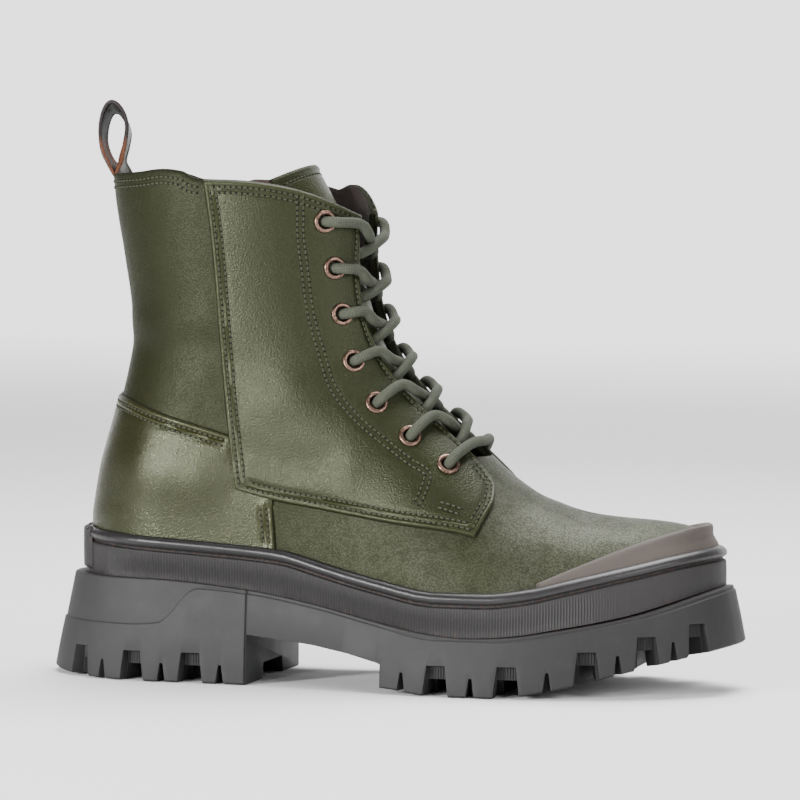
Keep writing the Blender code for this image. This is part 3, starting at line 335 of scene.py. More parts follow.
# Eyelets from the collar down, in side view, and the section that each is turned from
EYELETS = line_of(
    (115.5, 184.5), (119, 166), (122.3, 147.5), (127.8, 128.8), (138, 112.3),
    (152, 99.3), (167.5, 88.3),
)
PANEL_FACE = 2.15
Turn = namedtuple("Turn", "radius height")
EYELET_SECTION = [
    Turn(2.55, -4.6), Turn(2.95, -4.6), Turn(3.0, -0.6), Turn(4.3, -0.5), Turn(4.6, -0.1), Turn(4.55, 0.3),
    Turn(4.1, 0.62), Turn(3.5, 0.7), Turn(2.95, 0.5), Turn(2.6, -0.1),
]
HOLE_RADIUS = 3.2
HOLE_DEPTHS = (-9.0, 6.0)

# Lace: spacing of its points, rounds of smoothing, sides of its section, length of a braid's repeat, and
# how it lies in the eyelets, on their rings and over the throat
LACE_STEP = 0.55
LACE_ROUNDS = 18
LACE_SIDES = 18
BRAID_PITCH = 1.5
LACE_END_DEPTH = 6.5
LACE_START_DEPTH = 6.8
LACE_OVER = {LATERAL: 1.8, MEDIAL: -2.4}
LACE_BAR_OVER = 2.3
LACE_ON_RING = (4.6, 0.75)
LACE_IN_RING = 2.0
LACE_DIP = 0.8
LACE_BAR_CLEAR = 0.2
LACE_BAR_SINK = (0.3, 1.2)
LACE_SINK = 1.5
LACE_MIDDLE = 0.52

# A strand beside the eyestays: share of its rise, share t behind the edge, and height off the last, or
# over the panel in radii of the lace with some room
LACE_UNDER = ((0.2, 0.02, -4.4), (0.34, -0.014, -1.4))
LACE_ABOVE = ((0.74, -0.008, 0.7, 0.0), (0.88, 0.016, 1.0, 0.3))

# Tongue: its outer face down the middle, with the half-width and the radius of its curve across
Tongue = namedtuple("Tongue", "x z half radius")
TONGUE = [
    Tongue(188.5, 80.3, 13, 20), Tongue(176.0, 88.2, 16, 19), Tongue(162.7, 99.5, 18, 18),
    Tongue(150.6, 111.8, 19, 17), Tongue(140.4, 124.3, 20, 16.5), Tongue(132.6, 139.5, 21, 16),
    Tongue(127.6, 154.6, 21, 16.5), Tongue(123.0, 169.8, 22, 18), Tongue(116.5, 185.6, 24, 23),
    Tongue(104.5, 207.0, 27, 30),
]
TONGUE_THICKNESS = 2.6
TONGUE_GRID = ((165, 2.2), (46, 1.8))
TONGUE_RIM = (0.5, 1.2, 1.0)
TONGUE_GROOVE = (0.35, 3.4, 0.7)
TONGUE_SEAM_ACROSS = 0.86
TONGUE_SEAM_START = 0.72
TONGUE_SEAM_RUN = 0.25
TONGUE_SEAM_TOP = 0.976
TONGUE_SEAM_CORNER = 0.8
FLAP_EDGE_DARK = 0.8
KEEPER_SHARES = (0.80, 0.86)
KEEPER_HALF = 8.0
KEEPER_LIFT = 0.75
KEEPER_THICKNESS = 1.2
KEEPER_GRID = ((14, 1.0), (16, 1.0))
KEEPER_SEAT = 0.2
KEEPER_ROLL = 1.2

# Zip on the inner side, from the collar down, with its slider and pull tab at the top
ZIP = line_of((69.5, 199.6), (72, 179), (74, 156), (76, 130), (79, 102), (82, 80))
ZIP_CLEAR = 4.2
ZIP_DROP = 0.2
ZIP_FACE = 2.25
ZIP_TAPE_HALF = 4.4
ZIP_TAPE_ROWS = 90
ZIP_TAPE_ACROSS = (-1.0, -0.94, -0.8, -0.5, -0.2, -0.05, 0.05, 0.2, 0.5, 0.8, 0.94, 1.0)
ZIP_TAPE_HEIGHTS = [0.05, 0.4, 0.55, 0.6, 0.8, 0.8, 0.8, 0.8, 0.6, 0.55, 0.4, 0.05]
ZIP_TAPE_THICKNESS = 0.6
TOOTH_SIZE = (3.0, 1.2)
TOOTH_APART = 0.75
TOOTH_OUT = 1.55
ZIP_SLIDER_Z = 191.0
SLIDER_SIZE = (8.0, 3.0, 10.0)
SLIDER_FOOT_TAPER = 0.62
SLIDER_FACE_TAPER = 0.85
SLIDER_BRIDGE = (2.0, 2.6, 5.0)
BRIDGE_TAPER = 0.8
BRIDGE_SINK = 0.5
PULL_SIZE = (6.0, 1.4, 22.0)
PULL_END = 0.9
PULL_OUT = 0.2
PULL_TAPER = 0.86
PULL_SLOT = (2.6, 4.1)
PULL_SLOT_TOP = 4.0
PULL_SLOT_REACH = 3.0
PULL_TIP = 3.2
FIT = 0.3
GUARD_HALF = 15.0
GUARD_FOOT_Z = 90.0
GUARD_BELOW_COLLAR = 4.0
GUARD_MIDDLE_Z = 150.0
GUARD_DEPTH = 2.95
GUARD_THICKNESS = 1.3
GUARD_GRID = ((105, 3.0), (30, 2.0))
GUARD_ROLL = (0.6, 1.2)

# Pull loop: the strap's outer and inner face in side view, from one end round to the other
Strap = namedtuple("Strap", "outer_x outer_z inner_x inner_z")
LOOP = [
    Strap(20.6, 203.4, 22.3, 205.7), Strap(17.0, 207.7, 19.0, 208.5), Strap(14.2, 214.2, 16.0, 214.6),
    Strap(13.2, 221.3, 14.9, 221.4), Strap(14.3, 229.0, 15.9, 228.3), Strap(17.6, 232.8, 18.0, 231.0),
    Strap(22.3, 230.2, 21.0, 228.9), Strap(25.4, 223.2, 23.7, 222.6), Strap(25.2, 215.2, 23.6, 215.4),
    Strap(24.2, 208.2, 22.7, 208.7), Strap(23.8, 203.4, 22.6, 205.9),
]
LOOP_HALF_WIDTH = 11.0
LOOP_TWIST = (0.19, 0.26)
LOOP_SLANT = 0.2
LOOP_UPRIGHT = 1.5
LOOP_FOOT_CURVE = 64.0
LOOP_FOOT = Place(23.6, 201.6)
LOOP_FOOT_RISE = 7.0
LOOP_STEP = 0.8
LOOP_GRID = (22, 1.2)
LOOP_TURN = (0.35, 0.3)
LOOP_FACE = 0.75
LOOP_GROOVE = (0.3, 2.2, 0.6)
LOOP_THICKNESS = 1.3
LOOP_EDGE_DARK = 0.7

# Insole
INSOLE_INSET = 3.5
INSOLE_THICKNESS = 3.6
INSOLE_EDGE = (0.9, 1.2)
INSOLE_RECESS = 1.0
INSOLE_GRID = (60, 18)
INSOLE_MERGE = 0.05

# Soft creases of the worn leather in side view: their line, depth and half-width
Crease = namedtuple("Crease", "side line depth width")
CREASES = [
    Crease(LATERAL, line_of((196, 70), (204, 62), (208, 52)), -0.5, 5.0),
    Crease(LATERAL, line_of((206, 70), (213, 62), (217, 54)), 0.45, 4.5),
    Crease(LATERAL, line_of((216, 68), (222, 61), (226, 56)), -0.4, 4.5),
    Crease(MEDIAL, line_of((194, 70), (203, 60), (208, 50)), -0.5, 5.0),
    Crease(MEDIAL, line_of((205, 70), (213, 61), (217, 54)), 0.45, 4.5),
    Crease(LATERAL, line_of((88, 92), (104, 88), (120, 90)), -0.55, 6.0),
    Crease(LATERAL, line_of((86, 84), (108, 79), (130, 82)), 0.4, 5.0),
    Crease(LATERAL, line_of((82, 128), (96, 124), (108, 126)), -0.4, 7.0),
    Crease(MEDIAL, line_of((90, 92), (106, 88), (124, 90)), -0.55, 6.0),
    Crease(MEDIAL, line_of((88, 130), (100, 126), (112, 128)), -0.4, 7.0),
    Crease(LATERAL, line_of((46, 85), (64, 82)), 1.7, 13.0),
    Crease(MEDIAL, line_of((46, 85), (62, 83)), 1.5, 13.0),
    Crease(LATERAL, line_of((98, 112), (104, 116)), 1.2, 12.0),
    Crease(LATERAL, line_of((32, 134), (50, 130), (70, 133)), -0.6, 6.5),
    Crease(LATERAL, line_of((34, 146), (52, 143), (68, 146)), 0.35, 6.0),
    Crease(MEDIAL, line_of((32, 136), (48, 131), (64, 134)), -0.6, 6.5),
]

# Floor in millimetres, which bends up behind the boot, and the studio's lamps and camera in metres and watts
FLOOR_HALF = 6000
FLOOR_ROWS = (-6000, -3000, -1000, 0, 1000, 2000, 3000, 4000, 5000)
FLOOR_BELOW = 0.2
FLOOR_BEND = 1000
FLOOR_TOP = 3500
Lamp = namedtuple("Lamp", "name place size power")
LAMPS = [
    Lamp("key", (-0.95, -1.45, 0.4), (0.24, 0.24), 48.0),
    Lamp("sheen", (-0.40, -1.75, 0.42), (0.16, 0.2), 13.0),
    Lamp("fill", (1.2, -0.9, 0.7), (0.8, 0.8), 16.0),
    Lamp("top", (0.1, 0.4, 1.6), (1.0, 1.3), 62.0),
]
AIM_PLAN = (0.0013, 0.0005)
SENSOR_WIDTH = 36.0
BLACK = (0.0, 0.0, 0.0, 1.0)
WHITE = (1.0, 1.0, 1.0, 1.0)

# Places that the sheets face away from
INSIDE = Vector((110, 0, 70))
BEHIND_TONGUE = Vector((0, 0, 60))
UNDER_INSOLE = Vector((140, 0, -200))
LOOP_HEART = Vector((19, 0, 218))


def smooth_curve(xs, ys):
    """A smooth function through the points that never overshoots them, level beyond both ends."""
    slopes = [(y1 - y0) / (x1 - x0) for x0, x1, y0, y1 in zip(xs, xs[1:], ys, ys[1:])]
    inner = [0.0 if a * b <= 0 else 2 * a * b / (a + b) for a, b in zip(slopes, slopes[1:])]
    tangents = [slopes[0]] + inner + [slopes[-1]]

    def at(x):
        if x <= xs[0]:
            return ys[0]
        if x >= xs[-1]:
            return ys[-1]
        i = bisect_right(xs, x) - 1
        span = xs[i + 1] - xs[i]
        u = (x - xs[i]) / span
        ends = ys[i] * (1 + 2 * u) * (1 - u) ** 2 + ys[i + 1] * u * u * (3 - 2 * u)
        return ends + span * u * (1 - u) * (tangents[i] * (1 - u) - tangents[i + 1] * u)

    return at


def column(table, key, name):
    """One named column of a table as a function of another."""
    return smooth_curve([getattr(row, key) for row in table], [getattr(row, name) for row in table])


def path(places):
    """Side-view places as one smooth curve, from 0 at the first to 1 at the last by length."""
    lengths = [0.0]
    for a, b in zip(places, places[1:]):
        lengths.append(lengths[-1] + math.hypot(b.x - a.x, b.z - a.z))
    shares = [length / lengths[-1] for length in lengths]
    along_x = smooth_curve(shares, [p.x for p in places])
    along_z = smooth_curve(shares, [p.z for p in places])
    return lambda s: Place(along_x(s), along_z(s))


def patch(left, right, low, high):
    """A side-view area filled between four curves: t runs from left to right and v from low to high."""
    corners = (low(0), low(1), high(0), high(1))

    def at(t, v):
        values = []
        for k in range(2):
            edges = (1 - v) * low(t)[k] + v * high(t)[k] + (1 - t) * left(v)[k] + t * right(v)[k]
            ends = (1 - v) * ((1 - t) * corners[0][k] + t * corners[1][k])
            ends += v * ((1 - t) * corners[2][k] + t * corners[3][k])
            values.append(edges - ends)
        return Place(*values)

    return at


def root_of(value, low, high):
    """The place between low and high where a rising function passes zero."""
    for _ in range(32):
        middle = (low + high) / 2
        if value(middle) < 0:
            low = middle
        else:
            high = middle
    return (low + high) / 2


def smoothstep(u):
    u = min(max(u, 0.0), 1.0)
    return u * u * (3 - 2 * u)


def round_end(share):
    """Quarter-circle run-out of a section towards its end: 0 at the end, 1 from a full radius on."""
    return math.sqrt(max(0.0, 1 - (1 - min(max(share, 0.0), 1.0)) ** 2))


def bell(offset, width):
    """1 on the middle of a rounded ridge, falling off to nothing beside it."""
    return math.exp(-(offset / width) ** 2)


def close_spaced(count, both_ends=True):
    """Shares from 0 to 1 that crowd at the start, or at both ends."""
    if both_ends:
        return [(1 - math.cos(math.pi * i / count)) / 2 for i in range(count + 1)]
    return [1 - math.cos(math.pi / 2 * i / count) for i in range(count + 1)]


centre_line = column(FOOT, "x", "centre")
foot_half = {LATERAL: column(FOOT, "x", "lateral"), MEDIAL: column(FOOT, "x", "medial")}
feather_height = column(FOOT, "x", "feather")
foot_fullness = column(FOOT, "x", "fullness")
shaft_half = column(SHAFT, "z", "half")
heel_round = column(SHAFT, "z", "heel_round")
shin_round = column(SHAFT, "z", "shin_round")
back_x = column(BACK, "z", "x")
ridge_height = column(RIDGE[:0:-1], "x", "z")
shin_x = column([place for place in RIDGE if place.x < RIDGE_SHIN_X], "z", "x")
foxing_top = column(FOXING_TOP, "x", "z")
bumper_top = column(BUMPER_TOP, "x", "z")
gap_half = column(GAP, "v", "half")
collar_height = column(COLLAR, "x", "z")
zip_x = column(ZIP[::-1], "z", "x")
ridge_path = path(RIDGE)
tongue_path = path([Place(row.x, row.z) for row in TONGUE])

# Where the frame's origin lies in the tables: the zip's hinge and the pull loop tie the two together
HINGE = Vector(frame["joints"][0]["pos_m"])
LOOP_MIDDLE_Y = sum(corner.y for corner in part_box("pull_loop")) / 2
ORIGIN = Vector((zip_x(ZIP_SLIDER_Z) - HINGE.x / MM, -LOOP_MIDDLE_Y / MM, 0.0))


def along_foot(t):
    """The x of a share t of the way from the heel to the toe."""
    return FOOT[0].x + t * (TOE_X - FOOT[0].x)


def share_at(x):
    """The share t of the way from the heel to the toe at x."""
    return (x - FOOT[0].x) / (TOE_X - FOOT[0].x)


def feather_path(t):
    """The feather edge in side view."""
    return Place(along_foot(t), feather_height(along_foot(t)))


side_view = patch(path(BACK), ridge_path, feather_path, path(COLLAR))


def half_width(side, x, z):
    """How far the last stands out from its middle at a side-view place."""
    share = (z - feather_height(x)) / (ridge_height(x) - feather_height(x))
    arch = math.sqrt(max(0.0, 1 - min(max(share, 0.0), 1.0) ** foot_fullness(x)))
    foot = foot_half[side](x) * round_end((TOE_X - x) / TOE_ROUND) * arch
    shaft = shaft_half(z) * round_end((x - back_x(z)) / heel_round(z))
    shaft *= round_end((shin_x(z) - x) / shin_round(z))
    blend = smoothstep((BLEND_X - x + z - BLEND_Z) / BLEND_SPAN)
    return foot + (shaft - foot) * blend


def skin_at(side, place):
    """The point of the last at a side-view place."""
    return Vector((place.x, centre_line(place.x) + side * half_width(side, place.x, place.z), place.z))


def leather_at(side, place):
    """The point under the leather: on the inner side the flap is drawn up and the back panel cut lower."""
    if side == MEDIAL:
        start, end = DIP_ENDS
        dip = DIP_DEPTH * smoothstep((place.x - start) / DIP_EASE) * smoothstep((end - place.x) / DIP_EASE)
        dip *= smoothstep((place.z - DIP_FOOT_Z) / DIP_RISE)
        rise = FLAP_RISE * smoothstep((place.x - FLAP_START.x) / FLAP_SPAN.x)
        rise *= smoothstep((place.z - FLAP_START.z) / FLAP_SPAN.z)
        rise *= round_end((FLAP_END_X - place.x) / FLAP_CORNER)
        place = Place(place.x - FLAP_LEAN * rise, place.z + rise - dip)
    return skin_at(side, place)


def skin(side, t, v):
    """The point of the last at shares t from back to front and v from feather edge to collar."""
    return skin_at(side, side_view(t, v))


def skin_normal(side, place, step=0.3):
    """The outward direction of the last at a side-view place."""
    ahead = skin_at(side, Place(place.x + step, place.z)).y - skin_at(side, Place(place.x - step, place.z)).y
    above = skin_at(side, Place(place.x, place.z + step)).y - skin_at(side, Place(place.x, place.z - step)).y
    return (side * Vector((-ahead / (2 * step), 1.0, -above / (2 * step)))).normalized()


def throat_edge(side, v):
    """Share t of the eyestay edge at level v."""
    def over(t):
        place = side_view(t, v)
        return gap_half(v) - half_width(side, place.x, place.z)
    return root_of(over, 0.55, 1.0)


def level_of(t, height, top=0.45):
    """Level v at which the last reaches a height that is given along its length."""
    def over(v):
        place = side_view(t, v)
        return place.z - height(place.x)
    return root_of(over, 0.0, top)


def plan_normal(side, t, v):
    """The outward level direction of the last at shares t and v."""
    step = 0.002
    if t < step:
        return Vector((-1.0, 0.0, 0.0))
    if t > 1 - step:
        return Vector((1.0, 0.0, 0.0))
    along = skin(side, min(t + step, 1.0), v) - skin(side, max(t - step, 0.0), v)
    return Vector((-along.y, along.x, 0.0)).normalized() * side


THROAT_V = root_of(lambda v: THROAT_X - ridge_path(v).x, 0.2, 0.8)
FLAP_END_X = side_view(throat_edge(MEDIAL, 1.0), 1.0).x


def ridge_point(v, out):
    """A point over the middle of the throat, a distance outside the ridge."""
    step = 0.01
    here, before, after = ridge_path(v), ridge_path(v - step), ridge_path(min(v + step, 1.0))
    outward = Vector((after.z - before.z, 0.0, before.x - after.x)).normalized()
    return Vector((here.x, centre_line(here.x), here.z)) + outward * out


def nearest_level(place):
    """Level v of the ridge nearest to a side-view place."""
    steps = 400
    return min((i / steps for i in range(steps + 1)),
               key=lambda v: (ridge_path(v).x - place.x) ** 2 + (ridge_path(v).z - place.z) ** 2)


def crease_lift(side, place):
    """How far the worn leather stands out of the last, or sinks in, at a side-view place."""
    lift = 0.0
    for crease in CREASES:
        if crease.side != side:
            continue
        here = Vector(place)
        nearest = 1e9
        for a, b in zip(crease.line, crease.line[1:]):
            start, run = Vector(a), Vector(b) - Vector(a)
            share = min(max((here - start).dot(run) / run.length_squared, 0.0), 1.0)
            nearest = min(nearest, (here - start - run * share).length)
        lift += crease.depth * bell(nearest, crease.width)
    return lift


def deselect():
    bpy.ops.object.select_all(action="DESELECT")


def activate(piece):
    """Select one piece alone."""
    deselect()
    piece.select_set(True)
    bpy.context.view_layer.objects.active = piece


def in_edit_mode(piece, *steps):
    """Run mesh operators on the whole of a piece: each step is an operator and its settings."""
    activate(piece)
    bpy.ops.object.mode_set(mode="EDIT")
    for operator, settings in steps:
        bpy.ops.mesh.select_all(action="SELECT")
        operator(**settings)
    bpy.ops.object.mode_set(mode="OBJECT")


def merge(piece, reach=WELD_REACH):
    """Merge the points of a mesh that meet."""
    in_edit_mode(piece, (bpy.ops.mesh.remove_doubles, {"threshold": reach * MM}))


def weld(piece, reach=WELD_REACH):
    """Close the seams of a mesh and turn its faces outwards."""
    in_edit_mode(
        piece,
        (bpy.ops.mesh.remove_doubles, {"threshold": reach * MM}),
        (bpy.ops.mesh.normals_make_consistent, {"inside": False}),
    )


def lay_grid(name, rows):
    """A grid primitive laid on rows of points in millimetres of the tables."""
    deselect()
    bpy.ops.mesh.primitive_grid_add(x_subdivisions=len(rows[0]) - 1, y_subdivisions=len(rows) - 1)
    piece = bpy.context.object
    piece.name = piece.data.name = name
    places = [c for row in rows for p in row for c in (p - ORIGIN) * MM]
    piece.data.vertices.foreach_set("co", places)
    piece.data.update()
    return piece


def face_away(piece, inside=INSIDE):
    """Turn a sheet so that it faces away from a point of the tables."""
    point = (inside - ORIGIN) * MM
    facing = sum((face.center - point).dot(face.normal) * face.area for face in piece.data.polygons)
    if facing < 0:
        in_edit_mode(piece, (bpy.ops.mesh.flip_normals, {}))


def lift(piece, heights):
    """Move each point of a sheet along its normal by its height in millimetres."""
    places = []
    for vertex, height in zip(piece.data.vertices, heights):
        places.extend(vertex.co + vertex.normal * height * MM)
    piece.data.vertices.foreach_set("co", places)
    piece.data.update()


def mark(piece, name, values):
    """A number for each point of a piece, for its material."""
    attribute = piece.data.attributes.new(name, "FLOAT", "POINT")
    attribute.data.foreach_set("value", values)


def close_ends(piece):
    """Weld a tube along its seam and fill its two ends."""
    weld(piece)
    in_edit_mode(piece, (bpy.ops.mesh.fill_holes, {"sides": 0}))
    weld(piece)


def merge_and_lift(piece):
    """Merge the blocks of a sheet, and lift it by the heights that it is marked with."""
    merge(piece)
    face_away(piece)
    lift(piece, [item.value for item in piece.data.attributes["lift"].data])


def modify(piece, kind, **settings):
    """Add a modifier to a piece and apply it."""
    activate(piece)
    modifier = piece.modifiers.new(kind.title(), kind)
    for key, value in settings.items():
        setattr(modifier, key, value)
    bpy.ops.object.modifier_apply(modifier=modifier.name)


def thicken(piece, thickness, **settings):
    """Give a sheet its thickness on the side that it faces away from."""
    modify(piece, "SOLIDIFY", thickness=thickness * MM, offset=-1.0, use_even_offset=True, **settings)


def round_edges(piece, width, segments=2, angle=40.0):
    modify(piece, "BEVEL", width=width * MM, segments=segments, limit_method="ANGLE",
           angle_limit=math.radians(angle))


def cut(piece, cutter, operation="DIFFERENCE"):
    """Cut a piece with a helper, or join it on, and remove the helper."""
    modify(piece, "BOOLEAN", object=cutter, operation=operation, solver="EXACT")
    bpy.data.objects.remove(cutter)


def joined(pieces):
    """Several pieces made one."""
    deselect()
    for piece in pieces:
        piece.select_set(True)
    bpy.context.view_layer.objects.active = pieces[0]
    bpy.ops.object.join()
    return pieces[0]


def copied(piece):
    """A copy of a piece with a mesh of its own."""
    twin = piece.copy()
    twin.data = piece.data.copy()
    bpy.context.scene.collection.objects.link(twin)
    return twin


def dress(piece, materials):
    for material in materials:
        piece.data.materials.append(material)


def hand_over(piece, nodes, body="boot", angle=40.0):
    """Smooth a finished piece, tie it to its body and hide the solids of its nodes."""
    activate(piece)
    bpy.ops.object.shade_smooth_by_angle(angle=math.radians(angle))
    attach(piece, body)
    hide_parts(*nodes)
    return piece


def sheet(name, rows, heights, materials, thickness, marks=None, inside=INSIDE, **settings):
    """A sheet laid on rows of points: lifted by its heights, marked, dressed and thickened."""
    piece = lay_grid(name, rows)
    face_away(piece, inside)
    lift(piece, heights)
    for key, values in (marks or {}).items():
        mark(piece, key, values)
    dress(piece, materials)
    thicken(piece, thickness, **settings)
    return piece


EDGE_OFFSETS = (0.0, 0.25, 0.6, 1.05, 1.6, 2.3, 3.0, 3.8, 4.6, 5.4, 6.4)


def edge_spaced(span, step):
    """Shares of a span in millimetres: close at both ends, for rolled edges and seams, and even between."""
    ends = [offset / span for offset in EDGE_OFFSETS]
    count = max(2, round(span * (1 - 2 * ends[-1]) / step))
    middle = [ends[-1] + (1 - 2 * ends[-1]) * i / count for i in range(1, count)]
    return ends + middle + [1 - end for end in reversed(ends)]


def tree_of(points):
    tree = KDTree(len(points))
    for i, p in enumerate(points):
        tree.insert(p, i)
    tree.balance()
    return tree


def edge_distances(rows, across=(0, -1)):
    """How far each point of a grid lies from its side edges and from the rows across that are edges."""
    tree = tree_of([p for k in across for p in rows[k]] + [row[k] for row in rows for k in (0, -1)])
    return [tree.find(p)[2] for row in rows for p in row]


def dark_edges(away, reach=FLAP_EDGE_DARK):
    """Marks that darken the cut edges of a flap, from its points' distances to them."""
    return {"edge": [math.exp(-d / reach) for d in away]}


def run_lengths(points):
    """The length along a row of points, at each of them."""
    lengths = [0.0]
    for a, b in zip(points, points[1:]):
        lengths.append(lengths[-1] + (b - a).length)
    return lengths


def at_length(lengths, s):
    """The stretch of a run that a length falls in, and the share of the way along that stretch."""
    k = min(bisect_right(lengths, s) - 1, len(lengths) - 2)
    return k, (s - lengths[k]) / max(lengths[k + 1] - lengths[k], 1e-9)


def sampled(line, count=240):
    return [line(i / count) for i in range(count + 1)]


def beside(side, places, distance):
    """A row at an even distance on the skin from a side-view line, to the left of its run if positive."""
    row = []
    for i, p in enumerate(places):
        a, b = places[max(i - 1, 0)], places[min(i + 1, len(places) - 1)]
        across = Vector((-(b.z - a.z), b.x - a.x)).normalized() * math.copysign(1.0, distance)
        reach = abs(distance)
        here = skin_at(side, p)
        for _ in range(4):
            moved = Place(p.x + across.x * reach, p.z + across.y * reach)
            apart = (skin_at(side, moved) - here).length
            reach *= abs(distance) / max(apart, 1e-6)
        row.append(moved)
    return row


def trimmed(side, row, start, end):
    """A row without a length at its start and one at its end."""
    lengths = run_lengths([skin_at(side, p) for p in row])
    return [p for p, s in zip(row, lengths) if start <= s <= lengths[-1] - end]


def seam(side, line, inset, start=0.0, end=0.0):
    """A row of stitches beside a side-view line, without a length at its start and one at its end."""
    return trimmed(side, beside(side, line, inset), start, end)


def seam_insets(sizes):
    """How far the two rows of a double seam lie from a panel's edge."""
    return sizes.seam_inset / MM, (sizes.seam_inset + sizes.seam_gap) / MM


def quarter_edges(side):
    """The four edges of a quarter panel in side view: rear, sole, front with the eyestay, and collar."""
    shift, drop = (0.0, 0.0) if side == LATERAL else (ZIP_CLEAR, ZIP_DROP)
    rear = path([Place(p.x + shift, p.z - drop) for p in QUARTER_REAR])
    eyestay = []
    for i in range(1, THROAT_ROWS + 1):
        v = THROAT_V + (1 - THROAT_V) * i / THROAT_ROWS
        eyestay.append(side_view(throat_edge(side, v), v))
    front = path(QUARTER_FRONT + eyestay)
    start, last = rear(0), eyestay[-1]
    between = [p for p in COLLAR if start.x + CORNER_CLEAR < p.x < last.x - CORNER_CLEAR]
    collar = path([start] + between + [last])
    end = rear(1)
    sole = path([end] + [p for p in QUARTER_SOLE if p.x > end.x + CORNER_CLEAR])
    return rear, sole, front, collar


def quarter_seams(side, sizes):
    """The rows of stitches on a quarter panel in side view."""
    near, far = seam_insets(sizes)
    rear, sole, front, collar = [sampled(line) for line in quarter_edges(side)]
    below, above = [QUARTER_FRONT[-1].z + clear for clear in EYESTAY_CLEAR]
    corner = [p for p in front if p.z < below]
    eyestay = [p for p in front if p.z > above]
    rows = []
    for inset in (near, far):
        rows.append(seam(side, rear, inset, near + 1, inset))
        rows.append(seam(side, sole, inset, inset, inset))
        rows.append(seam(side, corner, inset, inset))
    rows.append(seam(side, eyestay, near, 0, near))
    rows += [seam(side, collar, -inset, inset, near) for inset in (near, far)]
    line = sampled(path(EYESTAY_SEAM))
    half = sizes.seam_gap / MM / 2
    rows += [seam(side, line, offset, TACK_CLEAR, far + SEAM_CLEAR) for offset in (-half, half)]
    tack = sampled(path(BAR_TACK), 12)
    rows += [beside(side, tack, offset) for offset in (-half, half)]
    return rows


def counter_seams(side, sizes):
    """The rows of stitches on the heel counter in side view."""
    near, far = seam_insets(sizes)
    top = sampled(path(COUNTER_TOP + COUNTER_FRONT[side][-1:]))
    front = sampled(path(COUNTER_FRONT[side][:2]), 40)
    rows = []
    for inset in (near, far):
        rows.append(seam(side, top, -inset, 0, near))
        rows.append(seam(side, front, inset, 1, near + SEAM_CLEAR))
        if side == MEDIAL:
            slope = sampled(path(COUNTER_FRONT[side][2:]), 80)
            rows.append(seam(side, slope, inset, 0, inset))
            step = sampled(path(COUNTER_FRONT[side][1:3]), 60)
            rows.append(seam(side, step, inset, inset))
    return rows


def collar_seams(side, sizes):
    """The rows of stitches under the collar of the back panel, in side view."""
    line = [p for p in sampled(path(COLLAR)) if p.x < QUARTER_REAR[0].x - 2]
    return [beside(side, line, -inset - COLLAR_CLEAR) for inset in seam_insets(sizes)]


def panel_heights(points, edges, doubled, seams, sizes):
    """Heights of a sewn panel, rolled down at its edges, pressed in along its seams, with wear and painted
    highlight.
    """
    thickness = sizes.leather / MM
    between_rows = (sizes.seam_inset + sizes.seam_gap / 2) / MM
    edge_tree = tree_of(edges)
    doubled_tree = tree_of(doubled)
    seam_tree = tree_of(seams)
    heights, marks = [], {"edge": [], "worn": []}
    for p in points:
        edge = edge_tree.find(p)[2]
        pressed = seam_tree.find(p)[2]
        ridge = doubled_tree.find(p)[2] - between_rows
        height = -PANEL_SINK + (thickness + PANEL_SINK) * round_end(edge / (sizes.edge_roll / MM))
        height -= sizes.seam_press / MM * bell(pressed, PRESS_WIDTH)
        height += SWELL * smoothstep((edge - SWELL_START) / SWELL_SPAN)
        height += RIDGE_SWELL * bell(ridge, RIDGE_WIDTH)
        heights.append(height)
        marks["edge"].append(math.exp(-edge / EDGE_DARK))
        # the lighter band is partly wear and partly a painted highlight where the rolled edge and the ridge
        # catch the light
        marks["worn"].append(max(bell(edge - WEAR_AND_HIGHLIGHT_EDGE[0], WEAR_AND_HIGHLIGHT_EDGE[1]),
                                 WEAR_AND_HIGHLIGHT_RIDGE[0] * bell(ridge, WEAR_AND_HIGHLIGHT_RIDGE[1])))
    return heights, marks


def sum_node(operation, swapped=False):
    """A method of a value that adds a maths node, with the two values in order or swapped."""
    def method(self, other):
        return self.maths(operation, other, self) if swapped else self.maths(operation, self, other)
    return method


class Value:
    """A shader socket that takes part in Python sums."""
    __add__, __radd__ = sum_node("ADD"), sum_node("ADD", True)
    __sub__, __rsub__ = sum_node("SUBTRACT"), sum_node("SUBTRACT", True)
    __mul__, __rmul__ = sum_node("MULTIPLY"), sum_node("MULTIPLY", True)

    def __init__(self, shading, socket):
        self.shading = shading
        self.socket = socket

    def maths(self, operation, *values):
        inputs = dict(enumerate(values))
        return self.shading.node("ShaderNodeMath", {"operation": operation}, inputs)

    def sine(self):
        return self.maths("SINE", self)

    def above(self, low, high):
        """0 below low, 1 above high and smooth between."""
        settings = {"interpolation_type": "SMOOTHSTEP"}
        return self.shading.node("ShaderNodeMapRange", settings, {0: self, 1: low, 2: high, 3: 0.0, 4: 1.0})


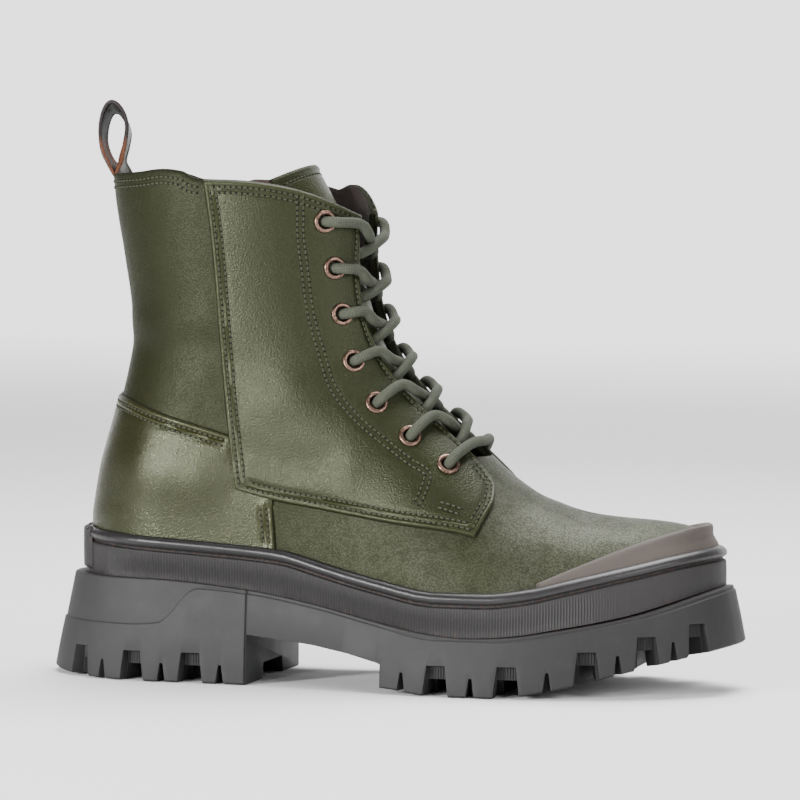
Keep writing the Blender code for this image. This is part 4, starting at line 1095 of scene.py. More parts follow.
class Shading:
    """The node tree of one material."""

    def __init__(self, name):
        self.material = bpy.data.materials.new(name)
        self.material.use_nodes = True
        self.tree = self.material.node_tree
        self.surface = self.tree.nodes["Principled BSDF"]
        self.where = self.coordinates("Object")

    def node(self, kind, settings=None, inputs=None, output=0):
        """Any node: its settings are set first, then the values or links of its sockets."""
        item = self.tree.nodes.new(kind)
        for key, value in (settings or {}).items():
            setattr(item, key, value)
        for key, value in (inputs or {}).items():
            self.feed(item.inputs[key], value)
        return Value(self, item.outputs[output])

    def feed(self, socket, value):
        if isinstance(value, Value):
            self.tree.links.new(value.socket, socket)
        else:
            socket.default_value = value

    def coordinates(self, kind):
        return self.node("ShaderNodeTexCoord", output=kind)

    def attribute(self, name):
        return self.node("ShaderNodeAttribute", {"attribute_name": name}, output="Fac")

    def parts(self, vector):
        """The three numbers of a vector."""
        item = self.tree.nodes.new("ShaderNodeSeparateXYZ")
        self.feed(item.inputs[0], vector)
        return [Value(self, socket) for socket in item.outputs]

    def noise(self, size, detail=3.0, roughness=0.5, distortion=0.0):
        """Cloudy noise whose patches are about a size in millimetres."""
        inputs = {"Vector": self.where, "Scale": 1 / (size * MM), "Detail": detail, "Roughness": roughness,
                  "Distortion": distortion}
        return self.node("ShaderNodeTexNoise", None, inputs)

    def pebbles(self, size):
        """Cells of a size in millimetres, with the distance from their middle."""
        return self.node("ShaderNodeTexVoronoi", None, {"Vector": self.where, "Scale": 1 / (size * MM)})

    def mixed(self, share, first, second, blend="MIX"):
        """A colour between two."""
        settings = {"data_type": "RGBA", "blend_type": blend}
        return self.node("ShaderNodeMix", settings, {0: share, 6: first, 7: second}, output=2)

    def finish(self, colour=None, roughness=None, height=None, depth=0.1, strength=1.0, **sockets):
        """Link what varies, and set the rest on the surface's own sockets."""
        if colour is not None:
            self.feed(self.surface.inputs["Base Color"], colour)
        if roughness is not None:
            self.feed(self.surface.inputs["Roughness"], roughness)
        if height is not None:
            inputs = {"Strength": strength, "Distance": depth * MM, "Height": height}
            self.feed(self.surface.inputs["Normal"], self.node("ShaderNodeBump", None, inputs))
        for key, value in sockets.items():
            self.feed(self.surface.inputs[key.replace("_", " ")], value)
        return self.material


def shade(colour, factor):
    """A colour made darker or lighter."""
    return tuple(channel * factor for channel in colour[:3]) + (1.0,)


def opaque(colour):
    return tuple(colour[:3]) + (1.0,)


def leather_material(name, colour, front=None, back=None, grained=0.75, matt=0.0, shine=0.34):
    """Fine-grained, low-gloss leather: dark edges, bands of wear and painted highlight; front and back tint
    its ends.
    """
    look = Shading(name)
    along = look.parts(look.where)[0]
    cloud = look.noise(26, 4.0, 0.6)
    patches = look.noise(5, 3.0)
    grain = look.pebbles(0.8)
    fine = look.pebbles(0.36)
    tone = opaque(colour)
    if front is not None:
        # On the upper the pale front tint, rising towards the toe, is largely painted sheen of the light from
        # above
        tone = look.mixed(along.above(-0.04, 0.14), opaque(back), opaque(front))
    tone = look.mixed(cloud.above(0.35, 0.7) * 0.5, tone, shade(colour, 1.5))
    tone = look.mixed(patches.above(0.45, 0.75) * 0.4, tone, shade(colour, 0.6))
    pores = (grain + 0.5 * fine).above(0.45, 0.95)
    tone = look.mixed(pores * 0.6, tone, shade(colour, 0.3))
    worn, edge = look.attribute("worn"), look.attribute("edge")
    tone = look.mixed(edge * 0.85, tone, shade(colour, 0.2))
    # The worn mark lightens the leather: partly wear, partly painted highlight on rolled edges and seam
    # ridges
    tone = look.mixed(worn * 0.35, tone, shade(colour, 2.4))
    rough = (0.23 + matt) + 0.14 * patches + 0.12 * pores - 0.04 * worn + 0.35 * edge
    height = 0.6 * patches - 0.8 * grain - 0.6 * fine
    return look.finish(tone, rough, height, depth=0.16, strength=grained, Specular_IOR_Level=shine,
                       Specular_Tint=(0.91, 0.97, 0.7, 1.0))


def loop_material(colours):
    """Inside of the pull loop: cognac brown below and dark grey above, with a fine weave."""
    look = Shading("loop_lining")
    weave = look.noise(0.8, 3.0)
    high = look.parts(look.where)[2].above(0.214, 0.219)
    tone = look.mixed(high, opaque(colours.loop_brown), opaque(colours.loop_dark))
    tone = look.mixed(weave.above(0.45, 0.65) * 0.5, tone, shade(colours.loop_dark, 0.4))
    return look.finish(tone, 0.55 + 0.2 * weave, weave, depth=0.1, strength=0.6, Specular_IOR_Level=0.3)


def felt_material(colour):
    """Short brown felt with fibres of two tones."""
    look = Shading("lining_felt")
    fibre = look.noise(0.5, 4.0, 0.7, 1.5)
    cloud = look.noise(9, 3.0)
    tone = look.mixed(fibre.above(0.4, 0.65), shade(colour, 0.6), shade(colour, 1.35))
    tone = look.mixed(cloud.above(0.5, 0.8) * 0.35, tone, shade(colour, 0.55))
    return look.finish(tone, 0.95, fibre + 0.5 * cloud, depth=0.35, strength=0.8, Specular_IOR_Level=0.15,
                       Sheen_Weight=0.25, Sheen_Roughness=0.6)


def rubber_material(name, colour, dust, toe=None, flecks=None):
    """Moulded rubber with dusty patches; points may be marked as flecked, as a groove with painted shade, or
    as glossy.
    """
    look = Shading(name)
    along = look.parts(look.where)[0]
    fine = look.noise(0.5, 3.0, 0.6)
    cloud = look.noise(9, 4.0, 0.6)
    tone = opaque(colour)
    if toe is not None:
        tone = look.mixed(along.above(0.0, 0.1), tone, opaque(toe))
    tone = look.mixed(cloud.above(0.45, 0.75) * 0.35, tone, opaque(dust))
    tone = look.mixed(fine.above(0.5, 0.72) * 0.35, tone, shade(colour, 0.5))
    # painted shade in the recesses marked as groove
    tone = look.mixed(look.attribute("groove") * 0.8, tone, shade(colour, 0.2))
    if flecks is not None:
        spots = look.noise(1.6, 4.0, 0.7).above(0.5, 0.62)
        tone = look.mixed(spots * look.attribute("flecked"), tone, opaque(flecks))
    rough = 0.55 + 0.2 * cloud - 0.3 * look.attribute("gloss")
    return look.finish(tone, rough, fine + 0.6 * cloud, depth=0.1, strength=0.6, Specular_IOR_Level=0.35)


def copper_material(colour):
    """Plated copper, brushed a little and dull in places."""
    look = Shading("eyelet_copper")
    dull = look.noise(1.6, 3.0)
    scratch = look.noise(0.25, 2.0)
    stain = look.noise(0.9, 3.0, 0.6)
    tone = look.mixed(dull.above(0.4, 0.75) * 0.6, opaque(colour), shade(colour, 0.45))
    tone = look.mixed(stain.above(0.48, 0.62) * 0.8, tone, shade(colour, 0.2))
    return look.finish(tone, 0.24 + 0.25 * dull, scratch, depth=0.02, strength=0.4, Metallic=1.0)


def lace_material(colour):
    """Round braided cord: its strands cross on the cord's own map, round it and along it."""
    look = Shading("lace_braid")
    around, along, _ = look.parts(look.coordinates("UV"))
    turns = 10 * math.tau
    first = (around * turns + along * math.tau).sine()
    second = (around * turns - along * math.tau).sine()
    strand = first * second
    fibre = look.noise(0.4, 3.0)
    tone = look.mixed(strand.above(-0.8, 0.6), shade(colour, 0.5), shade(colour, 1.1))
    tone = look.mixed(fibre.above(0.42, 0.66) * 0.6, tone, shade(colour, 0.45))
    return look.finish(tone, 0.8, strand + 0.5 * fibre, depth=0.12, strength=0.7, Specular_IOR_Level=0.25)


def thread_material(name, colour):
    """Waxed thread, painted near-black as shade at its ends and on its hole discs, where it enters the
    leather.
    """
    look = Shading(name)
    fibre = look.noise(0.25, 2.0)
    tone = look.mixed(fibre.above(0.4, 0.7), opaque(colour), shade(colour, 0.65))
    # painted shade: the thread's ends and its hole discs go near-black
    tone = look.mixed(look.attribute("end").above(0.6, 0.95), tone, shade(colour, 0.05))
    return look.finish(tone, 0.65, fibre, depth=0.05, strength=0.5, Specular_IOR_Level=0.15)


def zip_metal_material(colour):
    """Black plated metal, worn grey in places."""
    look = Shading("zip_metal")
    worn = look.noise(1.4, 4.0, 0.65)
    tone = look.mixed(worn.above(0.5, 0.75) * 0.7, opaque(colour), shade(colour, 6.0))
    return look.finish(tone, 0.32 + 0.2 * worn, worn, depth=0.03, strength=0.4, Metallic=0.85)


def tape_material(colour):
    """Woven zip tape: threads along and across."""
    look = Shading("zip_tape_weave")
    along, _, up = look.parts(look.where)
    weave = (along * (math.tau / 0.0007)).sine() * (up * (math.tau / 0.0009)).sine()
    fibre = look.noise(0.3, 2.0)
    tone = look.mixed(weave.above(-0.5, 0.6), shade(colour, 0.6), shade(colour, 1.7))
    return look.finish(tone, 0.85, weave + 0.4 * fibre, depth=0.08, strength=0.6, Specular_IOR_Level=0.2)


def length_property(name, description, default):
    return bpy.props.FloatProperty(name=name, description=description, default=default, unit="LENGTH")


class BootSizes(bpy.types.PropertyGroup):
    """Sizes of the dressed boot."""
    leather: length_property("Leather", "Thickness of the sewn-on panels", 0.0018)
    edge_roll: length_property("Edge roll", "Radius of a panel's rolled edge", 0.0014)
    wall: length_property("Wall", "Upper with its lining", 0.0022)
    seam_inset: length_property("Seam inset", "First row of stitches from the edge", 0.0026)
    seam_gap: length_property("Seam gap", "Between the two rows of stitches", 0.0024)
    seam_press: length_property("Seam press", "How deep a row is pressed in", 0.0005)
    stitch: length_property("Stitch", "Length of one stitch", 0.0018)
    stitch_pitch: length_property("Stitch pitch", "From stitch to stitch", 0.0022)
    thread: length_property("Thread", "Diameter of the thread", 0.0008)
    rib_pitch: length_property("Rib pitch", "From rib to rib on the foxing", 0.00118)
    rib_depth: length_property("Rib depth", "Depth between the foxing's ribs", 0.00035)
    lace: length_property("Lace", "Diameter of the lace", 0.0043)
    tooth_pitch: length_property("Tooth pitch", "From tooth to tooth of the zip", 0.0016)


def colour_property(name, description, default):
    return bpy.props.FloatVectorProperty(
        name=name, description=description, default=default, size=3, subtype="COLOR", min=0.0, max=1.0)


class BootColours(bpy.types.PropertyGroup):
    """Colours of the dressed boot."""
    quarter: colour_property("Quarter", "Leather of the quarters and the tongue", (0.0100, 0.0115, 0.0023))
    back: colour_property("Back panel", "Leather of the shaft's back", (0.0074, 0.0079, 0.0008))
    # The vamp colour is far paler than the quarter's: largely painted sheen of the light from above
    vamp: colour_property("Vamp", "Leather of the vamp", (0.080, 0.083, 0.062))
    counter: colour_property("Counter", "Leather of the heel counter", (0.0110, 0.0112, 0.0012))
    felt: colour_property("Felt", "Lining", (0.042, 0.022, 0.018))
    outsole: colour_property("Outsole", "Rubber of the outsole", (0.0185, 0.0185, 0.019))
    outsole_toe: colour_property("Outsole toe", "Rubber of the outsole at the toe", (0.0135, 0.013, 0.0135))
    foxing: colour_property("Foxing", "Rubber of the foxing and the heel clip", (0.0122, 0.0112, 0.0117))
    fleck: colour_property("Flecks", "Cement and thread in the sole's joint", (0.050, 0.028, 0.022))
    bumper: colour_property("Bumper", "Rubber of the toe bumper", (0.062, 0.051, 0.044))
    copper: colour_property("Eyelets", "Plating of the eyelets", (0.20, 0.125, 0.095))
    lace: colour_property("Lace", "Braided cord", (0.064, 0.071, 0.050))
    # The thread is lighter than the leather, partly as painted highlight on the stitches
    thread: colour_property("Thread", "Stitches of the upper", (0.048, 0.052, 0.029))
    loop_brown: colour_property("Loop foot", "Low down inside the pull loop", (0.090, 0.030, 0.012))
    loop_dark: colour_property("Loop", "Outside of the pull loop, and inside its top", (0.012, 0.008, 0.008))
    zip_black: colour_property("Zip", "Zip tape and metal", (0.008, 0.008, 0.009))


def settings(context):
    return context.scene.boot_sizes, context.scene.boot_colours


def material_named(name, make, *values, **more):
    """A material that several pieces share."""
    return bpy.data.materials.get(name) or make(*values, **more)


def lining(colours):
    """Felt of the lining, the tongue's back and the insole."""
    return material_named("lining_felt", felt_material, colours.felt)


class BOOT_OT_upper(bpy.types.Operator):
    """Hollow leather upper with its felt lining, open at the collar and the throat"""
    bl_idname = "boot.upper"
    bl_label = "Upper"

    def execute(self, context):
        sizes, colours = settings(context)
        levels = [THROAT_V * i / VAMP_LEVELS for i in range(VAMP_LEVELS)]
        levels += [THROAT_V + (1 - THROAT_V) * i / SHAFT_LEVELS for i in range(SHAFT_LEVELS + 1)]
        shares = close_spaced(SHELL_COLUMNS)
        bent = [math.sin(math.pi / 2 * i / VAMP_COLUMNS) for i in range(VAMP_COLUMNS + 1)]
        leg, vamp, leg_lift, vamp_lift = [], [], [], []
        for v in levels:
            edge = {side: throat_edge(side, v) for side in SIDES}
            places = [(LATERAL, side_view(edge[LATERAL] * s, v)) for s in reversed(shares)]
            places += [(MEDIAL, side_view(edge[MEDIAL] * s, v)) for s in shares[1:]]
            leg.append([leather_at(*place) for place in places])
            leg_lift += [crease_lift(*place) for place in places]
            if v > THROAT_V:
                continue
            places = [(MEDIAL, side_view(edge[MEDIAL] + (1 - edge[MEDIAL]) * s, v)) for s in bent]
            places += [(LATERAL, side_view(edge[LATERAL] + (1 - edge[LATERAL]) * s, v)) for s in bent[-2::-1]]
            vamp.append([skin_at(*place) for place in places])
            vamp_lift += [crease_lift(*place) for place in places]
        back = joined([lay_grid("upper_shell", leg), lay_grid("upper_vamp", vamp)])
        mark(back, "lift", leg_lift + vamp_lift)
        merge_and_lift(back)
        rims = leg[-1] + [row[k] for row in leg[VAMP_LEVELS:] for k in (0, -1)]
        edge_tree = tree_of([(p - ORIGIN) * MM for p in rims])
        mark(back, "edge", [math.exp(-edge_tree.find(v.co)[2] / (RIM_DARK * MM)) for v in back.data.vertices])
        # The vamp tint brings in painted sheen, paler towards the toe
        outside = leather_material("upper_leather", colours.quarter, colours.vamp, colours.back,
                                   grained=0.5, matt=0.14, shine=0.22)
        dress(back, [outside, lining(colours)])
        thicken(back, sizes.wall / MM, material_offset=1, material_offset_rim=0)
        round_edges(back, 0.6, 3, 55.0)
        hand_over(back, ["upper"])
        return {"FINISHED"}


class BOOT_OT_quarters(bpy.types.Operator):
    """Quarter panels with their eyestays, sewn over the upper on both sides"""
    bl_idname = "boot.quarters"
    bl_label = "Quarters"

    def execute(self, context):
        sizes, colours = settings(context)
        leather = leather_material("quarter_leather", colours.quarter, matt=-0.01)
        for side, word in SIDE_WORDS:
            rear, sole, front, collar = quarter_edges(side)
            area = patch(lambda v, line=rear: line(1 - v), front, sole, collar)
            rows = []
            places = []
            for v in edge_spaced(*QUARTER_GRID[0]):
                row = [area(t, v) for t in edge_spaced(*QUARTER_GRID[1])]
                places += row
                rows.append([leather_at(side, p) for p in row])
            edges = [leather_at(side, p) for line in (rear, sole, front, collar) for p in sampled(line, 400)]
            seams = [leather_at(side, p) for row in quarter_seams(side, sizes) for p in row]
            points = [p for row in rows for p in row]
            doubled = [leather_at(side, p) for line in (rear, sole) for p in sampled(line, 400)]
            heights, marks = panel_heights(points, edges, doubled, seams, sizes)
            heights = [height + crease_lift(side, p) for height, p in zip(heights, places)]
            piece = sheet(f"quarter_{word}_panel", rows, heights, [leather], PANEL_BACKING, marks)
            hand_over(piece, [f"quarter_{word}"])
        return {"FINISHED"}


class BOOT_OT_heel_counter(bpy.types.Operator):
    """Heel counter, sewn round the back of the upper and tucked behind the foxing's bead"""
    bl_idname = "boot.heel_counter"
    bl_label = "Heel counter"

    def execute(self, context):
        sizes, colours = settings(context)
        foot_z = foxing_top(BACK[2].x) - COUNTER_TUCK
        rise = COUNTER_TOP[0].z - foot_z

        def back_line(v):
            return Place(back_x(foot_z + v * rise), foot_z + v * rise)

        grids, edges, seams, tucked = [], [], [], []
        spaced = {name: edge_spaced(span, COUNTER_STEP) for name, span in COUNTER_SPANS.items()}
        low, high = spaced["low"], spaced["high"]
        shares = [0.0] + [s for s in (2 * s - 1 for s in spaced["round"]) if s > 1e-6]
        halves = {}
        for side in SIDES:
            toe_foot, tab_top, corner = COUNTER_FRONT[side][:3]
            bend = (COUNTER_BEND_Z - foot_z) / rise
            slope = path(COUNTER_FRONT[side][2:])
            top = path(COUNTER_TOP + COUNTER_FRONT[side][-1:])
            tab_foot = self.foot_at(toe_foot.x)
            tab_front, step = path([tab_foot, tab_top]), path([corner, tab_top])
            inner = path([self.foot_at(corner.x), corner])

            def front(v):
                return inner(v / bend) if v <= bend else slope((v - bend) / (1 - bend))

            main = patch(back_line, front, self.foot_line(back_line(0).x, corner.x), top)
            tab = patch(inner, tab_front, self.foot_line(corner.x, toe_foot.x), step)
            levels = [bend * s for s in low] + [bend + (1 - bend) * s for s in high[1:]]
            halves[side] = [[(side, main(t, v)) for t in shares] for v in levels]
            across = spaced["tab"][::side]
            grids.append([[(side, tab(t, v)) for t in across] for v in low])
            edges += [skin_at(side, p) for p in sampled(top, 300)]
            for p in sampled(slope, 300) + sampled(step, 200) + sampled(tab_front, 200):
                hidden = side == LATERAL and p.z > COUNTER_CORNER_Z
                (tucked if hidden else edges).append(skin_at(side, p))
            seams += [skin_at(side, p) for row in counter_seams(side, sizes) for p in row]
        grids.append([a[::-1] + b[1:] for a, b in zip(halves[LATERAL], halves[MEDIAL])])
        places = [item for grid in grids for row in grid for item in row]
        points = [skin_at(*item) for item in places]
        heights, marks = panel_heights(points, edges, edges, seams, sizes)
        tuck_tree = tree_of(tucked)
        marks["lift"] = []
        for height, item, p in zip(heights, places, points):
            tuck = TUCK_DEPTH * math.exp(-tuck_tree.find(p)[2] / TUCK_REACH)
            marks["lift"].append(height + crease_lift(*item) - tuck)
        blocks = [lay_grid("heel_counter_block", [[skin_at(*item) for item in row] for row in grid])
                  for grid in grids]
        piece = joined(blocks)
        piece.name = piece.data.name = "heel_counter_panel"
        for name, values in marks.items():
            mark(piece, name, values)
        merge_and_lift(piece)
        leather = leather_material("counter_leather", colours.counter, grained=0.6, matt=-0.04, shine=0.42)
        dress(piece, [leather])
        thicken(piece, PANEL_BACKING)
        hand_over(piece, ["heel_counter"])
        return {"FINISHED"}

    def foot_at(self, x):
        """Foot of the counter behind the foxing's bead at x."""
        return Place(x, foxing_top(x) - COUNTER_TUCK)

    def foot_line(self, start, end):
        return lambda t: self.foot_at(start + t * (end - start))


class BOOT_OT_toe_bumper(bpy.types.Operator):
    """Rubber bumper over the toe, with a thick rounded rim"""
    bl_idname = "boot.toe_bumper"
    bl_label = "Toe bumper"

    def execute(self, context):
        colours = settings(context)[1]
        start = share_at(BUMPER_REAR_X)
        shares = [start + (1 - start) * math.sin(math.pi / 2 * i / BUMPER_COLUMNS)
                  for i in range(BUMPER_COLUMNS + 1)]
        places = [(LATERAL, t) for t in shares] + [(MEDIAL, t) for t in reversed(shares[:-1])]
        rows = [[] for _ in BUMPER_LEVELS]
        tops = []
        for side, t in places:
            low = level_of(t, lambda x: foxing_top(x) - BUMPER_TUCK)
            high = max(level_of(t, bumper_top), low + BUMPER_TIP)
            for row, share in zip(rows, BUMPER_LEVELS):
                row.append(skin(side, t, low + (high - low) * share))
            tops.append(rows[-1][-1])
        ends = [row[k] for row in rows for k in (0, -1)]
        edge_tree = tree_of(tops + ends)
        heights, edge = [], []
        least, more = BUMPER_RIM
        (start_x, start_span), (full_x, full_span) = BUMPER_RIM_START, BUMPER_RIM_FULL
        for row in rows:
            for p in row:
                away = edge_tree.find(p)[2]
                rim = least + more * smoothstep((p.x - full_x) / full_span)
                across = bell(away - BUMPER_RIM_INSET, BUMPER_RIM_WIDTH)
                rim *= across * smoothstep((p.x - start_x) / start_span)
                heights.append(-BUMPER_SINK + BUMPER_THICKNESS * round_end(away / BUMPER_ROLL) + rim)
                edge.append(BUMPER_FLECKS[0] * math.exp(-away / BUMPER_FLECKS[1]))
        rubber = rubber_material("moulded_bumper", colours.bumper, shade(colours.bumper, 1.25),
                                 flecks=colours.fleck)
        piece = sheet("toe_bumper_cap", rows, heights, [rubber], PANEL_BACKING, {"flecked": edge})
        hand_over(piece, ["toe_bumper"])
        return {"FINISHED"}


def foxing_material(colours):
    """Rubber of the foxing and of the heel clip."""
    return material_named("moulded_foxing", rubber_material, "moulded_foxing", colours.foxing,
                          shade(colours.foxing, 1.7), toe=shade(colours.foxing, 1.5), flecks=colours.fleck)


def ring_columns(count):
    """Side and share t of columns all round the feather edge, from the back along the lateral side."""
    shares = close_spaced(count)
    return [(LATERAL, t) for t in shares] + [(MEDIAL, t) for t in reversed(shares[1:-1])]


class BOOT_OT_foxing(bpy.types.Operator):
    """Foxing band round the upper: its rolled bead, the groove under it and its fine ribs"""
    bl_idname = "boot.foxing"
    bl_label = "Foxing"

    def execute(self, context):
        sizes, colours = settings(context)
        coarse = []
        for side, t in ring_columns(64):
            top = level_of(t, foxing_top)
            rise = skin(side, t, top).z - skin(side, t, 0.0).z
            room = rise - FOXING_BEAD[0].below_top
            section = [Section(0.3, rise, 0.0, 1.0)]
            section += [Section(FOXING_OUT, FOXING_BEAD[0].below_top + room * s, flecked)
                        for s, flecked in FOXING_WALL]
            section += FOXING_BEAD
            outline = []
            for item in section:
                v = level_of(t, lambda x, drop=item.below_top: foxing_top(x) - drop)
                outline.append((skin(side, t, v), plan_normal(side, t, v), item.out))
            coarse.append(outline)
        count = len(coarse[0])
        ribbed = range(2, 1 + len(FOXING_WALL))
        foot = [column_points[1][0] + column_points[1][1] * FOXING_OUT for column_points in coarse]
        lengths = run_lengths(foot + foot[:1])
        ribs = round(lengths[-1] / (sizes.rib_pitch / MM))
        rows = []
        for i in range(4 * ribs + 1):
            s = lengths[-1] * i / (4 * ribs)
            k, share = at_length(lengths, s)
            before, after = coarse[k], coarse[(k + 1) % len(coarse)]
            rib = -(sizes.rib_depth / MM) * (0.0, 0.5, 1.0, 0.5)[i % 4]
            row = []
            for j in range(count):
                p = before[j][0].lerp(after[j][0], share)
                outward = before[j][1].lerp(after[j][1], share).normalized()
                out = before[j][2] + (after[j][2] - before[j][2]) * share
                if j in ribbed:
                    fade = smoothstep((p.x - RIB_STARTS[0]) / (RIB_STARTS[1] - RIB_STARTS[0]))
                    fade *= 1 - smoothstep((p.x - RIB_FADES[0]) / (RIB_FADES[1] - RIB_FADES[0]))
                    out += rib * fade
                row.append(p + outward * out)
            row.append(row[0])
            rows.append(row)
        piece = lay_grid("foxing_band", rows)
        for name in ("flecked", "groove", "gloss"):
            values = [getattr(item, name) for item in section]
            mark(piece, name, (values + values[:1]) * len(rows))
        weld(piece)
        dress(piece, [foxing_material(colours)])
        hand_over(piece, ["foxing"], angle=50.0)
        return {"FINISHED"}


class BOOT_OT_heel_clip(bpy.types.Operator):
    """Rubber clip over the back of the foxing"""
    bl_idname = "boot.heel_clip"
    bl_label = "Heel clip"

    def execute(self, context):
        colours = settings(context)[1]
        reach = share_at(CLIP_REACH_X)
        shares = [reach * s for s in close_spaced(CLIP_COLUMNS, both_ends=False)]
        places = [(LATERAL, t) for t in reversed(shares)] + [(MEDIAL, t) for t in shares[1:]]
        rows = []
        for share in [i / CLIP_COLUMNS for i in range(CLIP_COLUMNS + 1)]:
            row = []
            for side, t in places:
                top = level_of(t, lambda x: foxing_top(x) + CLIP_ABOVE)
                foot = level_of(t, lambda x: feather_height(x) + CLIP_RISE)
                v = foot + (top - foot) * share
                row.append(skin(side, t, v) + plan_normal(side, t, v) * (FOXING_OUT + CLIP_OUT))
            rows.append(row)
        away = edge_distances(rows)
        heights = [-CLIP_SINK + CLIP_THICKNESS * round_end(d / CLIP_ROLL) for d in away]
        flecked = {"flecked": [CLIP_FLECKS * math.exp(-d) for d in away]}
        piece = sheet("heel_clip_cap", rows, heights, [foxing_material(colours)], CLIP_BACKING, flecked)
        hand_over(piece, ["heel_clip"])
        return {"FINISHED"}


def sole_outline(side, t, out):
    """A point level with the feather edge, a distance outside it."""
    return skin(side, t, 0.0) + plan_normal(side, t, 0.0) * out


def block(corners):
    """A cube primitive with its eight corners moved, in the order of their signs along three axes."""
    deselect()
    bpy.ops.mesh.primitive_cube_add()
    piece = bpy.context.object
    piece.data.vertices.foreach_set("co", [c for p in corners for c in (p - ORIGIN) * MM])
    weld(piece)
    return piece


class BOOT_OT_outsole(bpy.types.Operator):
    """Rubber outsole: its flared side, waist, edge lugs, slits and grooves"""
    bl_idname = "boot.outsole"
    bl_label = "Outsole"

    def execute(self, context):
        colours = settings(context)[1]
        ledge, floor, under, step = [column(SOLE, "x", name) for name in ("ledge", "floor", "under", "step")]
        steps = [share_at(x + offset) for x in WAIST for offset in (-WAIST_STEP / 2, WAIST_STEP / 2)]
        shares = sorted(close_spaced(120) + steps)
        rows, flecked = [], []
        for t in shares:
            x = along_foot(t)
            inset = WAIST_INSET if WAIST[0] < x < WAIST[1] else 0.0
            top = feather_height(x) - SOLE_GAP
            share = (top - step(x)) / (top - under(x))
            middle = ledge(x) + (floor(x) - ledge(x)) * share
            low_half = (step(x) + under(x)) / 2
            # From the ledge down the flared wall to the floor: height, distance out and share of flecks
            levels = [
                (top, ledge(x) - 3.4, 0.7), (top, ledge(x) - 0.7, 0.4), (top - 0.25, ledge(x) - 0.2, 0.3),
                (top - 0.8, ledge(x), 0.0), (step(x) + 0.2, middle - 0.3, 0.0),
                (step(x) - 0.2, middle - 0.25, 0.0), (step(x) - 0.7, middle + 0.5, 0.0),
                (low_half, (middle + floor(x)) / 2 + 0.4, 0.0), (under(x) + 0.8, floor(x), 0.0),
                (under(x), floor(x) - 0.8, 0.0),
            ]
            sides = {}
            for side in SIDES:
                sides[side] = []
                for z, out, _ in levels:
                    p = sole_outline(side, t, out - inset)
                    sides[side].append(Vector((p.x, p.y, z)))
            marks = [item[2] for item in levels]
            row = sides[LATERAL] + sides[MEDIAL][::-1]
            rows.append(row + row[:1])
            flecked += marks + marks[::-1] + marks[:1]
        piece = lay_grid("outsole_tread", rows)
        mark(piece, "flecked", flecked)
        weld(piece, 0.01)
        self.cut_arch(piece)
        self.cut_edge(piece, floor, under)
        self.cut_grooves(piece, under)
        round_edges(piece, 0.35, 2, 38.0)
        rubber = rubber_material("moulded_outsole", colours.outsole, shade(colours.outsole, 1.3),
                                 toe=colours.outsole_toe, flecks=colours.fleck)
        dress(piece, [rubber])
        hand_over(piece, ["outsole"], angle=32.0)
        self.rib_notches(floor, under, rubber)
        return {"FINISHED"}

    def cut_arch(self, piece):
        """Open the waist between the heel and the forefoot."""
        rows = [[Vector((p.x, y, p.z)) for p in WAIST_ARCH + WAIST_ARCH[:1]] for y in ARCH_REACH]
        cutter = lay_grid("arch_cutter", rows)
        close_ends(cutter)
        cut(piece, cutter)

    def edge_stand(self, x, side, floor, under):
        """Foot of the outsole's edge at x, with the directions out of it and along it."""
        t = share_at(x)
        outward = plan_normal(side, t, 0.0)
        edge = sole_outline(side, t, floor(x))
        return Vector((edge.x, edge.y, under(x))), outward, Vector((-outward.y, outward.x, 0.0))

    def cut_edge(self, piece, floor, under):
        for kind in EDGE_CUTTERS:
            cutters = []
            slope = (kind.foot - kind.top) / kind.height / 2
            outs, heights = (-kind.depth, TREAD_OUT), (-TREAD_BELOW, kind.height)
            for x, side in product(kind.places, SIDES):
                foot, outward, along = self.edge_stand(x, side, floor, under)
                corners = []
                for a, out, height in product((-1, 1), outs, heights):
                    half = kind.foot / 2 - slope * height
                    corners.append(foot + along * a * half + outward * out + Vector((0, 0, height)))
                cutters.append(block(corners))
            cut(piece, joined(cutters))

    def rib_notches(self, floor, under, rubber):
        """Fine upright ribs on the wall at the back of each notch."""
        notch, groove = EDGE_CUTTERS[:2]
        tall = notch.height - groove.height
        stands = []
        for x, side in product(NOTCHES, SIDES):
            foot, outward, along = self.edge_stand(x, side, floor, under)
            for i in range(NOTCH_RIBS):
                offset = (i - (NOTCH_RIBS - 1) / 2) * NOTCH_RIB_PITCH
                spot = foot + along * offset - outward * notch.depth
                spot += Vector((0, 0, groove.height + tall / 2))
                stands.append(standing((spot - ORIGIN) * MM, Vector((0, 0, 1)), along, -outward))
        ribs = strewn("notch_ribs", capsule(tall * NOTCH_RIB_TALL * MM, NOTCH_RIB_WIDTH * MM), stands)
        dress(ribs, [rubber])
        hand_over(ribs, ["outsole"])

    def cut_grooves(self, piece, under):
        cutters = []
        for x in GROOVES:
            half = foot_half[LATERAL](x) * round_end((TOE_X - x) / TOE_ROUND) - GROOVE_REACH
            heights = (-TREAD_BELOW, GROOVE_HEIGHT)
            corners = [Vector((x + a * GROOVE_WIDTH / 2, centre_line(x) + b * half, under(x) + height))
                       for a, b, height in product((-1, 1), (-1, 1), heights)]
            cutters.append(block(corners))
        cut(piece, joined(cutters))
        start, end, half, height = HEEL_CHANNEL
        corners = [Vector((x, y * half * (1.0 if z < 0 else CHANNEL_TAPER), z))
                   for x, y, z in product((start, end), (-1, 1), (-TREAD_BELOW, height))]
        cut(piece, block(corners))


